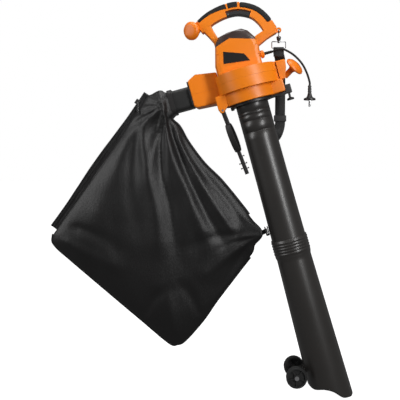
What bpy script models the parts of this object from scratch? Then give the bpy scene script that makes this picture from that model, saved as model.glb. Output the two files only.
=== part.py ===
"""Electric leaf blower and vacuum: a motor head with an arched handle, a shredding fan in a volute,
two suction tubes with wheels, a collecting bag, a mains lead and a shoulder strap.

Metres, +Z up, +X to the right with the bag on the left. The tool hangs from the hand, tilted by TILT,
so its pieces are children of the empty "tool", whose Z is the motor's axis. Bag, strap and lead are
placed in world space, because they hang.
"""
import math

import bmesh
import bpy
from mathutils import Matrix, Vector

for old in list(bpy.data.objects):
    bpy.data.objects.remove(old, do_unlink=True)

# Driving dimensions
GAP = 0.0003
WALL = 0.003
TILT = math.radians(15.4)
FAN_CENTRE = Vector((0.016, 0.0, -0.215))
TOOL_FRAME = Matrix.Translation(FAN_CENTRE) @ Matrix.Rotation(-TILT, 4, "Y")

HEAD_HALF = 0.058
HEAD_BASE = 0.0283
HEAD_ROUND = 0.016
HANDLE_HALF = 0.0175
HANDLE_DEPTH = 0.038
GRIP_DEPTH = 0.0165
GRIP_SKIN = 0.0033
TRIGGER_DEPTH = 0.011
TRIGGER_GAP = 0.0055

DRUM_TOP = 0.028
DRUM_BASE = -0.031
SCROLL_START = 0.088
SCROLL_END = 0.106
COLLAR_RADIUS = 0.080
COLLAR_BASE = -0.068
INLET_RADIUS = 0.050
DUCT_END = -0.172
DUCT_NEAR = 0.008
DUCT_FAR = 0.1055

SHAFT_RADIUS = 0.005
STATOR_RADIUS = 0.046
ARMATURE_RADIUS = 0.024
IMPELLER_RADIUS = 0.074
FAN_RADIUS = 0.042

TUBE_RADIUS = 0.050
TUBE_WALL = 0.0025
TUBE_FLARE = 0.003
UPPER_LENGTH = 0.478
SOCKET_DEPTH = 0.050
LOWER_LENGTH = 0.450
MOUTH_RADIUS = 0.063
WHEEL_RADIUS = 0.0315
WHEEL_WIDTH = 0.020
WHEEL_TRACK = 0.100
AXLE_RADIUS = 0.004
LOWER_END = COLLAR_BASE - UPPER_LENGTH + SOCKET_DEPTH - LOWER_LENGTH
AXLE_AT = (-MOUTH_RADIUS - 0.0265, LOWER_END + 0.048)

ADAPTER = ((0.021, -0.038), (0.093, 0.030))
ADAPTER_LENGTH = 0.078
ADAPTER_ROUND = 0.012
BAG_Y = 0.042
BAG_HALF = 0.042
BAG_CLOTH = 0.0025
NECK_END = ((0.016, -0.080), (0.068, 0.010))
BAG_HOOK = (-0.0585, -0.462)
BADGE = [(-0.051, 0.056), (0.027, 0.046), (0.015, 0.070), (-0.043, 0.091)]
FLAP_WIDTH = 0.026
PLUG_AT = (0.2115, -0.008)
PLUG_TOP = -0.2330
PLUG_FLANGE = -0.2720
PIN_SPACING = 0.019
HOOK_DROP = 0.0195
HOOK_WIRE = 0.0015
RING_SIZE = (0.042, 0.020)
RING_WIRE = 0.0015
BUCKLE = Vector((0.1265, 0.0698, -0.3290))
TETHER_END = (0.0225, -0.5020)
CORD_RADIUS = 0.0033
STRAP_WIDTH = 0.032
STRAP_THICK = 0.002


def collection(name):
    made = bpy.data.collections.new(name)
    bpy.context.scene.collection.children.link(made)
    return made


PARTS = collection("leaf_blower")
CUTTERS = collection("cutters")


def paint(name, colour, roughness, metallic=0.0):
    made = bpy.data.materials.new(name)
    made.use_nodes = True
    shader = made.node_tree.nodes["Principled BSDF"]
    shader.inputs["Base Color"].default_value = (*colour, 1.0)
    shader.inputs["Roughness"].default_value = roughness
    shader.inputs["Metallic"].default_value = metallic
    return made


ORANGE = (0.85, 0.25, 0.01)
BLACK = (0.03, 0.03, 0.03)
GREY = (0.08, 0.077, 0.074)
STEEL = (0.55, 0.55, 0.56)
COPPER = (0.72, 0.33, 0.16)

tool = bpy.data.objects.new("tool", None)
tool.location = FAN_CENTRE
tool.rotation_euler = (0.0, -TILT, 0.0)
PARTS.objects.link(tool)


def add(name, mesh, colour=None, roughness=0.5, metallic=0.0, parent=tool, at=(0, 0, 0), turn=None):
    """Links a mesh as a piece of the object or, with no colour, as a cutter."""
    made = bpy.data.objects.new(name, mesh)
    made.parent = parent
    made.location = at
    if turn is not None:
        made.rotation_mode = "QUATERNION"
        made.rotation_quaternion = turn
    if colour is None:
        CUTTERS.objects.link(made)
        made.hide_render = True
        made.display_type = "WIRE"
        return made
    PARTS.objects.link(made)
    mesh.materials.append(paint(name, colour, roughness, metallic))
    return made


def rounded(mesh, degrees=35):
    mesh.shade_smooth()
    mesh.set_sharp_from_angle(angle=math.radians(degrees))
    return mesh


def solid(name, build):
    """A mesh from whatever bmesh operations the function build makes."""
    work = bmesh.new()
    build(work)
    bmesh.ops.recalc_face_normals(work, faces=work.faces)
    mesh = bpy.data.meshes.new(name)
    work.to_mesh(mesh)
    work.free()
    return mesh


def block(name, low, high, *finish, **place):
    low, high = Vector(low), Vector(high)

    def build(work):
        bmesh.ops.create_cube(work, size=1.0)
        bmesh.ops.scale(work, vec=high - low, verts=work.verts)
        bmesh.ops.translate(work, vec=(low + high) / 2, verts=work.verts)

    return add(name, solid(name, build), *finish, **place)


def rod(name, radius, start, end, *finish, sides=18, tip=None, **place):
    """A round bar between two points, or a cone when the radius at its tip is given."""
    start, end = Vector(start), Vector(end)
    way = (end - start).to_track_quat("Z", "Y").to_matrix().to_4x4()

    def build(work):
        bmesh.ops.create_cone(
            work, cap_ends=True, segments=sides, radius1=radius, radius2=radius if tip is None else tip,
            depth=(end - start).length, matrix=Matrix.Translation((start + end) / 2) @ way)

    return add(name, rounded(solid(name, build)), *finish, **place)


def turned(name, profile, *finish, steps=18, ring=False, **place):
    """A profile of (radius, height) points, top to bottom down its outer side, turned about Z."""
    count = len(profile)
    edges = [(i, i + 1) for i in range(count - 1)]
    if ring:
        edges.append((count - 1, 0))
    mesh = bpy.data.meshes.new(name)
    mesh.from_pydata([(r, 0.0, z) for r, z in profile], edges, [])
    made = add(name, mesh, *finish, **place)
    screw = made.modifiers.new("turn", "SCREW")
    screw.steps = steps
    screw.render_steps = steps
    screw.use_merge_vertices = True
    screw.merge_threshold = 0.00001
    screw.use_smooth_shade = True
    return made


def flat_mesh(name, outlines, thickness, matrix):
    """A 2D curve's outlines, each hole a further outline, filled and given a thickness."""
    curve = bpy.data.curves.new(name, "CURVE")
    curve.dimensions = "2D"
    curve.fill_mode = "BOTH"
    curve.extrude = thickness / 2
    for outline in outlines:
        spline = curve.splines.new("POLY")
        spline.points.add(len(outline) - 1)
        for point, (a, b) in zip(spline.points, outline):
            point.co = (a, b, 0.0, 1.0)
        spline.use_cyclic_u = True
    guide = bpy.data.objects.new(name, curve)
    CUTTERS.objects.link(guide)
    graph = bpy.context.evaluated_depsgraph_get()
    mesh = bpy.data.meshes.new_from_object(guide.evaluated_get(graph))
    bpy.data.objects.remove(guide)
    work = bmesh.new()
    work.from_mesh(mesh)
    bmesh.ops.remove_doubles(work, verts=work.verts, dist=0.000001)
    bmesh.ops.transform(work, matrix=matrix, verts=work.verts)
    bmesh.ops.recalc_face_normals(work, faces=work.faces)
    work.to_mesh(mesh)
    work.free()
    return mesh


def plate(name, outline, near, far, *finish, holes=(), **place):
    """An outline in the XZ plane, with a thickness from y = near to y = far."""
    upright = Matrix.Translation((0, (near + far) / 2, 0)) @ Matrix.Rotation(math.pi / 2, 4, "X")
    mesh = flat_mesh(name, [outline, *holes], far - near, upright)
    return add(name, mesh, *finish, **place)


def slab(name, outline, low, high, *finish, holes=(), **place):
    """An outline in the XY plane, with a thickness from z = low to z = high."""
    mesh = flat_mesh(name, [outline, *holes], high - low, Matrix.Translation((0, 0, (low + high) / 2)))
    return add(name, mesh, *finish, **place)


def loft(name, sections, *finish, **place):
    """A bar along X through rounded rectangular sections, each an x, its low and high (y, z) and its corner radius."""
    rings = []
    for x, (y0, z0), (y1, z1), corner in sections:
        outline = []
        for y, z, first in ((y1 - corner, z1 - corner, 0), (y0 + corner, z1 - corner, 90),
                            (y0 + corner, z0 + corner, 180), (y1 - corner, z0 + corner, 270)):
            outline += arc((y, z), corner, first, first + 90, 3)
        rings.append([(x, y, z) for y, z in outline])

    def build(work):
        rows = [[work.verts.new(corner) for corner in ring] for ring in rings]
        for one, other in zip(rows, rows[1:]):
            for i in range(len(one)):
                work.faces.new((one[i - 1], one[i], other[i], other[i - 1]))
        work.faces.new(rows[0])
        work.faces.new(rows[-1])

    return add(name, rounded(solid(name, build)), *finish, **place)


def duct_piece(name, ends, low, high, corner, *finish, **place):
    """A loft of constant section."""
    return loft(name, [(x, low, high, corner) for x in ends], *finish, **place)


def grown(low, high, amount):
    """A section's low and high corners, moved out by this amount."""
    return tuple(a - amount for a in low), tuple(a + amount for a in high)


def boolean(piece, operation, others):
    for other in others:
        step = piece.modifiers.new(f"{operation.lower()} {other.name}", "BOOLEAN")
        step.operation = operation
        step.object = other
    return piece


def cut(piece, *cutters):
    return boolean(piece, "DIFFERENCE", cutters)


def join(piece, *others):
    return boolean(piece, "UNION", others)


def within(piece, *blocks):
    return boolean(piece, "INTERSECT", blocks)


def ease(piece, width, segments=2, degrees=60, full=False):
    """Rounds the edges that turn by more than this angle, at the full width even beside a short edge."""
    step = piece.modifiers.new("ease", "BEVEL")
    step.width = width
    step.segments = segments
    step.limit_method = "ANGLE"
    step.angle_limit = math.radians(degrees)
    step.use_clamp_overlap = not full
    return piece


def arc(centre, radius, first, last, count):
    """Points on an arc, by angle in degrees."""
    angles = (math.radians(first + (last - first) * i / count) for i in range(count + 1))
    return [(centre[0] + radius * math.cos(a), centre[1] + radius * math.sin(a)) for a in angles]


def smooth(points, per_span):
    """A Catmull-Rom run through the points."""
    points = [Vector(p) for p in points]
    ends = [2 * points[0] - points[1], *points, 2 * points[-1] - points[-2]]
    run = []
    for a, b, c, d in zip(ends, ends[1:], ends[2:], ends[3:]):
        for i in range(per_span):
            t = i / per_span
            run.append(0.5 * (2 * b + (c - a) * t + (2 * a - 5 * b + 4 * c - d) * t ** 2
                              + (3 * b - a - 3 * c + d) * t ** 3))
    return [*run, points[-1]]


def even(run, count):
    """The run again, with evenly spaced points."""
    lengths = [0.0]
    for a, b in zip(run, run[1:]):
        lengths.append(lengths[-1] + (b - a).length)
    spaced = []
    for i in range(count + 1):
        goal = lengths[-1] * i / count
        k = max(j for j, length in enumerate(lengths[:-1]) if length <= goal + 1e-12)
        part = (goal - lengths[k]) / (lengths[k + 1] - lengths[k])
        spaced.append(run[k].lerp(run[k + 1], part))
    return spaced


def inset(outline, distance):
    """A counter-clockwise outline drawn in by this distance."""
    count = len(outline)
    drawn = []
    for i in range(count):
        before, here, after = (Vector(outline[j % count]) for j in (i - 1, i, i + 1))
        a, b = (here - before).normalized(), (after - here).normalized()
        normals = Vector((-a.y, a.x)), Vector((-b.y, b.x))
        middle = (normals[0] + normals[1]).normalized()
        drawn.append(tuple(here + middle * distance / middle.dot(normals[0])))
    return drawn


# Handle: everything on it is measured along its outer arch, and in depth from it
ARCH = smooth([(-0.104, 0.203), (-0.059, 0.225), (-0.0055, 0.2355), (0.044, 0.231), (0.091, 0.206),
               (0.118, 0.170), (0.1345, 0.124)], 12)


def arch(x, depth):
    """The point at this depth inside the arch, below where its outline passes x."""
    k = next((j for j in range(len(ARCH) - 2) if ARCH[j + 1].x >= x), len(ARCH) - 2)
    along = (ARCH[k + 1] - ARCH[k]).normalized()
    on = ARCH[k].lerp(ARCH[k + 1], (x - ARCH[k].x) / (ARCH[k + 1].x - ARCH[k].x))
    return on + depth * Vector((along.y, -along.x))


def band(first, last, top, bottom, count):
    """The outline between two depths, from x = first to x = last. A depth may change along it."""
    tops = top if isinstance(top, tuple) else (top, top)
    bottoms = bottom if isinstance(bottom, tuple) else (bottom, bottom)
    outer, inner = [], []
    for i in range(count + 1):
        t = i / count
        x = first + (last - first) * (1 - (1 - t) ** 1.6)
        outer.append(tuple(arch(x, tops[0] + (tops[1] - tops[0]) * t)))
        inner.append(tuple(arch(x, bottoms[0] + (bottoms[1] - bottoms[0]) * t)))
    return inner + outer[::-1]


# Motor head: outline of the casing and its black cover, seen from the side
HEAD = [(-0.078, HEAD_BASE - 0.02), (0.061, HEAD_BASE - 0.02), (0.061, 0.046), (0.065, 0.086), (0.060, 0.112),
        (0.044, 0.136), (0.028, 0.146), (-0.022, 0.144), (-0.047, 0.138), (-0.062, 0.116), (-0.078, 0.056)]
COVER_LINE = [(-0.095, 0.111), (-0.060, 0.111), (-0.015, 0.125), (0.050, 0.106), (0.095, 0.096)]
HOOK_HOLE = (0.1385, 0.1190)
LEFT_LEG = [(-0.061, 0.104), (-0.045, 0.104), (-0.045, 0.138), (-0.0535, 0.166), (-0.058, 0.190),
            (-0.078, 0.192), (-0.086, 0.176), (-0.074, 0.156), (-0.063, 0.134)]
RIGHT_LEG = [(0.0575, 0.0835), (0.064, 0.087), (0.097, 0.102), (0.120, 0.109), (0.131, 0.112), (0.1355, 0.119),
             (0.130, 0.134), (0.105, 0.138), (0.090, 0.128), (0.066, 0.120), (0.0575, 0.114)]
DIAL_AT = Vector((-0.1185, -0.012, 0.185))
DIAL_AXIS = Vector((-math.sin(math.radians(35)), -math.cos(math.radians(35)), 0.0))
DIAL_RADIUS = 0.028
DIAL_HALF = 0.011
DIAL_STEM = 0.005
GLAND_AT = Vector((0.0655, -0.007, 0.0605))
GLAND_RADIUS = 0.012
RELIEF_RADIUS = 0.005
RELIEF_TIP = 0.101
SADDLES = (0.062, 0.090)
BRUSH_PLATE = 0.100
GRIPS = {"grip_rear": (-0.094, 0.001), "grip_middle": (0.006, 0.038), "grip_front": (0.045, 0.1255)}
TRIGGER = (-0.005, 0.083)
TRIGGER_TOP = HANDLE_DEPTH - TRIGGER_DEPTH
TRIGGER_PIVOT = arch(TRIGGER[0] + 0.006, TRIGGER_TOP + TRIGGER_DEPTH / 2)
PIN_RADIUS = 0.002
PLUNGER_X = 0.040
PLUNGER_RADIUS = 0.0025
SCREWS = [(-0.068, 0.164), (0.104, 0.120)]
SCREW_RADIUS = 0.0016
EYE_RADIUS = 0.008


def towards(direction):
    return Vector(direction).to_track_quat("Z", "Y")


def head_cutters():
    """The cutters that both housing halves and the cover share."""
    shell = plate("head_form", HEAD, -HEAD_HALF, HEAD_HALF)
    ease(shell, HEAD_ROUND, 2, full=True)
    hollow = plate("head_hollow", inset(HEAD, WALL), WALL - HEAD_HALF, HEAD_HALF - WALL)
    ease(hollow, HEAD_ROUND - WALL, 2, full=True)
    under = block("head_under", (-0.1, -0.1, -0.05), (0.1, 0.1, HEAD_BASE))
    return shell, hollow, under


def housing():
    """Two mirrored halves of motor casing and handle, with saddles for the stator inside."""
    _, hollow, under = head_cutters()
    above = plate("cover_room", [*COVER_LINE, (0.095, 0.17), (-0.095, 0.17)], -0.09, 0.09)
    grip = plate("arch_form", band(-0.104, 0.1345, 0.0, HANDLE_DEPTH, 16), -HANDLE_HALF, HANDLE_HALF)
    ease(grip, 0.005)
    legs = [plate(f"{side}_leg_form", outline, GAP - HANDLE_HALF, HANDLE_HALF - GAP)
            for side, outline in (("left", LEFT_LEG), ("right", RIGHT_LEG))]
    for leg in legs:
        ease(leg, 0.004)
    channel = plate("handle_channel", band(-0.080, 0.112, GRIP_SKIN + WALL, HANDLE_DEPTH - TRIGGER_DEPTH
                                           - TRIGGER_GAP - WALL, 12), -0.012, 0.012)
    core = plate("grip_core", band(-0.1039, 0.1344, GRIP_SKIN, HANDLE_DEPTH + 0.01, 15),
                 GRIP_SKIN - HANDLE_HALF, HANDLE_HALF - GRIP_SKIN)
    seats = []
    for name, (first, last) in GRIPS.items():
        depth = (0.0084, GRIP_DEPTH) if name == "grip_rear" else GRIP_DEPTH
        seat = plate(f"{name}_seat", band(first, last, -0.003, depth, 8), -0.03, 0.03)
        seats.append(cut(seat, core))
    pocket = plate("trigger_pocket", band(TRIGGER[0] - 0.0012, TRIGGER[1] + 0.0015, TRIGGER_TOP - TRIGGER_GAP,
                                          HANDLE_DEPTH + 0.006, 8), -0.03, 0.03)
    pivot = TRIGGER_PIVOT
    tongue = block("trigger_tongue", (pivot.x - 0.011, -0.005, pivot.y - 0.0045),
                   (pivot.x + 0.0045, 0.005, pivot.y + 0.0045))
    pin_bore = rod("pin_bore", PIN_RADIUS + GAP, (pivot.x, -0.02, pivot.y), (pivot.x, 0.02, pivot.y), sides=18)
    plunger_low, plunger_high = arch(PLUNGER_X, TRIGGER_TOP), arch(PLUNGER_X, 0.012)
    plunger_bore = rod("plunger_bore", PLUNGER_RADIUS + 2 * GAP, (plunger_low.x, 0, plunger_low.y),
                       (plunger_high.x, 0, plunger_high.y), sides=16)
    seat_point = DIAL_AT - DIAL_AXIS * (DIAL_HALF + GAP)
    dial_seat = block("dial_seat", (-0.06, -0.06, 0.0), (0.06, 0.06, 0.05), at=seat_point, turn=towards(DIAL_AXIS))
    dial_bore = rod("dial_bore", DIAL_STEM + GAP, seat_point + DIAL_AXIS * 0.01, seat_point - DIAL_AXIS * 0.0173,
                    sides=24)
    boss_end = seat_point - DIAL_AXIS * 0.022
    boss = rod("dial_boss", 0.0095, boss_end, seat_point + DIAL_AXIS * 0.004)
    neck = rod("dial_neck", 0.0095, (-0.072, 0, 0.193), seat_point.lerp(boss_end, 0.55), tip=0.0085)
    x, z = HOOK_HOLE
    hook_bore = rod("hook_bore", 0.0035, (x, -0.03, z), (x, 0.03, z), sides=18)
    eye = rod("hook_eye", EYE_RADIUS, (x, -0.0049, z), (x, 0.0049, z))
    hook_rooms = [rod(f"hook_room_{k}", 0.0125, (x + 0.001, side * 0.005, z - 0.002), (x + 0.001, side * 0.03, z - 0.002))
                  for k, side in enumerate((-1, 1))]
    gland_bore = rod("gland_bore", 0.0083, GLAND_AT - Vector((0.02, 0, 0)), GLAND_AT + Vector((0.02, 0, 0)))
    saddles = [block(f"saddle_{k}", (-0.0645, 0.0014 - HEAD_HALF, z - 0.002), (0.0602, HEAD_HALF - 0.0014, z + 0.002))
               for k, z in enumerate(SADDLES)]
    motor_room = rod("motor_room", STATOR_RADIUS + 2 * GAP, (0, 0, 0.05), (0, 0, 0.104), sides=40)
    for saddle in saddles:
        cut(saddle, motor_room)
    bores = []
    for k, (x, z) in enumerate(SCREWS):
        bores.append(rod(f"screw_bore_{k}", SCREW_RADIUS + GAP, (x, -0.012, z), (x, 0.03, z), sides=16))
        bores.append(rod(f"screw_head_room_{k}", 0.0038, (x, 0.0145, z), (x, 0.03, z), sides=20))
    for side, low, high in (("near", -0.09, -GAP / 2), ("far", GAP / 2, 0.09)):
        half = plate(f"housing_{side}", HEAD, -HEAD_HALF, HEAD_HALF, ORANGE, 0.38)
        ease(half, HEAD_ROUND, 2, full=True)
        cut(half, hollow, under, above)
        join(half, *saddles, grip, *legs, eye, neck, boss)
        cut(half, channel, *seats, pocket)
        join(half, tongue)
        cut(half, pin_bore, plunger_bore, dial_seat, dial_bore, hook_bore, *hook_rooms, gland_bore, *bores)
        room = block(f"{side}_side", (-0.2, low, -0.05), (0.2, high, 0.3))
        within(half, room)
    return hollow, grip, legs


def motor_cover(hollow, legs):
    """The black cap over the casing, notched where the handle's legs come down."""
    cover = plate("motor_cover", HEAD, -HEAD_HALF, HEAD_HALF, BLACK, 0.45)
    ease(cover, HEAD_ROUND, 2, full=True)
    lifted = [(x, z + GAP) for x, z in COVER_LINE]
    room = plate("cover_keep", [*lifted, (0.095, 0.17), (-0.095, 0.17)], -0.09, 0.09)
    notches = [plate(f"{side}_notch", inset(outline, -2 * GAP), -HANDLE_HALF - 2 * GAP, HANDLE_HALF + 2 * GAP)
               for side, outline in (("left", LEFT_LEG), ("right", RIGHT_LEG))]
    cut(cover, hollow)
    within(cover, room)
    cut(cover, *notches)


def grips():
    """Soft U-shaped skins over the outer edge of the handle."""
    inside = plate("grip_inside", band(-0.1039, 0.1344, GRIP_SKIN - GAP, HANDLE_DEPTH + 0.01, 15),
                   GRIP_SKIN - GAP - HANDLE_HALF, HANDLE_HALF - GRIP_SKIN + GAP)
    for name, (first, last) in GRIPS.items():
        depth = (0.0080, GRIP_DEPTH - 1.5 * GAP) if name == "grip_rear" else GRIP_DEPTH - 1.5 * GAP
        piece = plate(name, band(first + 2 * GAP, last - 2 * GAP, -0.0006, depth, 8),
                      -HANDLE_HALF - 0.0004, HANDLE_HALF + 0.0004, BLACK, 0.75)
        ease(piece, 0.0045)
        cut(piece, inside)


def trigger():
    """A paddle on a cross pin, the switch that it presses and the dial's speed control."""
    pivot = TRIGGER_PIVOT
    outline = [(x - pivot.x, z - pivot.y) for x, z in band(*TRIGGER, TRIGGER_TOP, HANDLE_DEPTH, 8)]
    at = (pivot.x, 0, pivot.y)
    paddle = plate("trigger", outline, -0.0170, 0.0170, BLACK, 0.6, at=at)
    ease(paddle, 0.0028, 1)
    slot = block("trigger_slot", (-0.012, -0.0055, -0.012), (0.0062, 0.0055, 0.012), at=at)
    hole = rod("trigger_hole", PIN_RADIUS + GAP, (0, -0.03, 0), (0, 0.03, 0), sides=18, at=at)
    cut(paddle, slot, hole)
    rod("trigger_pin", PIN_RADIUS, (0, -0.0165, 0), (0, 0.0165, 0), STEEL, 0.3, 1.0, sides=18, at=at)
    low, high = arch(PLUNGER_X, TRIGGER_TOP - GAP), arch(PLUNGER_X, 0.0135)
    rod("switch_plunger", PLUNGER_RADIUS, (low.x, 0, low.y), (high.x, 0, high.y), ORANGE, 0.5, sides=16)
    top, base = GRIP_SKIN + WALL + 0.001, TRIGGER_TOP - TRIGGER_GAP - WALL - GAP
    body = plate("switch_module", band(PLUNGER_X - 0.018, PLUNGER_X + 0.016, top, base, 3), -0.009, 0.009, BLACK, 0.4)
    high = arch(PLUNGER_X, 0.0095)
    cut(body, rod("switch_bore", PLUNGER_RADIUS + GAP, (low.x, 0, low.y), (high.x, 0, high.y), sides=16))
    plate("speed_control", band(-0.074, -0.046, top, base, 4), -0.010, 0.010, (0.02, 0.16, 0.06), 0.5)


def dial_and_knob():
    """The speed dial at the rear end of the handle, and the round grip in front of the volute."""
    r, h = DIAL_RADIUS, DIAL_HALF
    stem = -h - 0.017
    turned("speed_dial", [(0, h), (r * 0.62, h), (r * 0.86, h * 0.72), (r, h * 0.2), (r, -h * 0.3), (r * 0.88, -h * 0.85),
                          (r * 0.75, -h), (DIAL_STEM, -h), (DIAL_STEM, stem), (0, stem)],
           ORANGE, 0.4, at=DIAL_AT, turn=towards(DIAL_AXIS), steps=18)
    turned("front_knob", [(0, 0.010), (0.012, 0.009), (0.022, 0.006), (0.029, 0.001), (0.031, -0.004), (0.0285, -0.008),
                          (0.020, -0.010), (0.0115, -0.014), (KNOB_STEM, -0.020), (KNOB_STEM, -0.046), (0, -0.046)],
           ORANGE, 0.4, at=KNOB_AT, turn=towards(KNOB_AXIS), steps=18)


def cord_entry():
    """The gland in the casing's side and the tapered sleeve that the lead comes out of."""
    along = towards((1, 0, 0))
    turned("cord_gland", [(RELIEF_RADIUS + GAP, 0.0105), (0.0085, 0.0105), (GLAND_RADIUS, 0.007), (GLAND_RADIUS, 0.0),
                                  (0.0079, 0.0), (0.0079, -0.009), (RELIEF_RADIUS + GAP, -0.009)],
                   ORANGE, 0.4, steps=18, ring=True, at=GLAND_AT + Vector((GAP, 0, 0)), turn=along)
    start = GLAND_AT - Vector((0.010, 0, 0))
    length = RELIEF_TIP - start.x
    turned("strain_relief", [(0, length), (0.0040, length), (0.0042, length - 0.006), (RELIEF_RADIUS, 0.022),
                             (RELIEF_RADIUS, 0.0), (0, 0.0)], BLACK, 0.6, steps=18, at=start, turn=along)


# Volute: a scroll whose radius grows towards the far side, where the outlet duct leaves it
KNOB_AT = Vector((0.158, -0.005, 0.0005))
KNOB_AXIS = Vector((0.807, -0.375, 0.458)).normalized()
KNOB_STEM = 0.009
BRACKET = [(0.092, DRUM_BASE + 0.001), (0.1165, DRUM_BASE + 0.001), (0.1285, 0.004), (0.131, 0.024), (0.127, 0.0275), (0.092, 0.0275)]
BRACKET_HALF = 0.027
DUCT = [(-0.038, -0.0402), (-0.038, 0.0263), (-0.0785, 0.0266), (-0.0785, 0.0475), (-0.145, 0.058), (DUCT_END, 0.044), (DUCT_END, -0.036), (-0.164, -0.042),
        (-0.105, -0.046)]
MOUTH_LOW = (DUCT_NEAR + WALL + 0.001, -0.0325)
MOUTH_HIGH = (DUCT_FAR - WALL - 0.001, 0.0405)
LUG = [(-0.058, DRUM_BASE + 0.0015), (-0.060, -0.050), (-0.069, -0.063), (-0.082, -0.074), (-0.090, -0.083),
       (-0.098, -0.081), (-0.103, -0.070), (-0.103, DRUM_BASE + 0.0015)]
LUG_Y = (-0.038, -0.010)
TETHER_PIN = (-0.091, -0.074)
TETHER_Y = -0.024
TETHER_THICK = 0.004
ARM_END = 0.107
ARM_HALF = 0.040
LOCK_AT = 0.118


def scroll(offset, end=-0.060):
    """The scroll's outline in plan, drawn in by this distance and running to x = end on the duct's side."""
    points = []
    for i in range(31):
        angle = -math.pi + 1.5 * math.pi * i / 30
        radius = SCROLL_START + (SCROLL_END - SCROLL_START) * i / 30 - offset
        points.append((radius * math.cos(angle), radius * math.sin(angle)))
    return [*points, (end, SCROLL_END - offset), (end, 0.030)]


def volute():
    """The scroll, its duct and collar as one form, hollowed and parted at mid height."""
    duct_y = (DUCT_NEAR, DUCT_FAR)
    duct = plate("duct_form", DUCT, *duct_y)
    ease(duct, 0.008, 2, 40)
    duct_room = plate("duct_room", inset(DUCT, WALL), DUCT_NEAR + WALL, DUCT_FAR - WALL)
    ease(duct_room, 0.005, 2, 40)
    mouth = block("duct_mouth", (DUCT_END - 0.02, *MOUTH_LOW), (DUCT_END + 0.012, *MOUTH_HIGH))
    ease(mouth, 0.005, 2)
    drum_room = slab("drum_room", scroll(WALL + 0.0004, -0.075), DRUM_BASE + WALL, DRUM_TOP - WALL)
    collar = rod("collar_form", COLLAR_RADIUS, (0, 0, COLLAR_BASE), (0, 0, DRUM_BASE + 0.002), sides=30)
    ease(collar, 0.003)
    arm = block("arm_form", (0.040, -ARM_HALF, COLLAR_BASE + 0.0006), (ARM_END, ARM_HALF, DRUM_BASE + 0.0025))
    ease(arm, 0.005)
    bracket = plate("bracket_form", BRACKET, -BRACKET_HALF, BRACKET_HALF)
    ease(bracket, 0.003, 2, 25)
    lug = plate("lug_form", LUG, *LUG_Y)
    ease(lug, 0.003)
    inlet = rod("inlet_bore", INLET_RADIUS, (0, 0, COLLAR_BASE - 0.01), (0, 0, 0), sides=30)
    moat = turned("collar_moat", [(COLLAR_RADIUS - WALL, DRUM_BASE - WALL), (COLLAR_RADIUS - WALL, COLLAR_BASE - 0.01),
                                  (INLET_RADIUS + WALL, COLLAR_BASE - 0.01), (INLET_RADIUS + WALL, DRUM_BASE - WALL)],
                  steps=30, ring=True)
    arm_room = block("arm_room", (COLLAR_RADIUS + 0.004, WALL - ARM_HALF, COLLAR_BASE - 0.01),
                     (ARM_END - WALL, ARM_HALF - WALL, DRUM_BASE - WALL - 0.0005))
    shaft_hole = rod("shaft_hole", 0.0135, (0, 0, 0), (0, 0, 0.06))
    knob_bore = rod("knob_bore", KNOB_STEM + GAP, KNOB_AT - KNOB_AXIS * 0.0463, KNOB_AT, sides=26)
    slit = block("tether_slit", (-0.13, TETHER_Y - TETHER_THICK / 2 - 0.0005, -0.11),
                 (-0.0795, TETHER_Y + TETHER_THICK / 2 + 0.0005, -0.064))
    x, z = TETHER_PIN
    tether_bore = rod("tether_bore", 0.003 + GAP, (x, -0.06, z), (x, 0.0, z), sides=18)
    casing_room = block("casing_room", (-0.0783, -0.0585, DRUM_TOP + GAP / 2), (0.0700, 0.0585, 0.070))
    rib_slot = block("rib_slot", (0.0975, -0.06, -0.026), (0.1012, -0.012, 0.024))
    for name, low, high in (("volute_lower", -0.2, -GAP / 2), ("volute_upper", GAP / 2, 0.2)):
        half = slab(name, scroll(0.0), DRUM_BASE, DRUM_TOP, ORANGE, 0.35)
        ease(half, 0.006, 2)
        join(half, duct, bracket, *([collar, arm, lug] if low < -0.1 else []))
        cut(half, drum_room, duct_room, mouth, knob_bore, rib_slot)
        if low < -0.1:
            cut(half, inlet, moat, arm_room, slit, tether_bore)
        else:
            cut(half, shaft_hole, casing_room)
        within(half, block(f"{name}_side", (-0.3, -0.2, low), (0.3, 0.2, high)))


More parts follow.
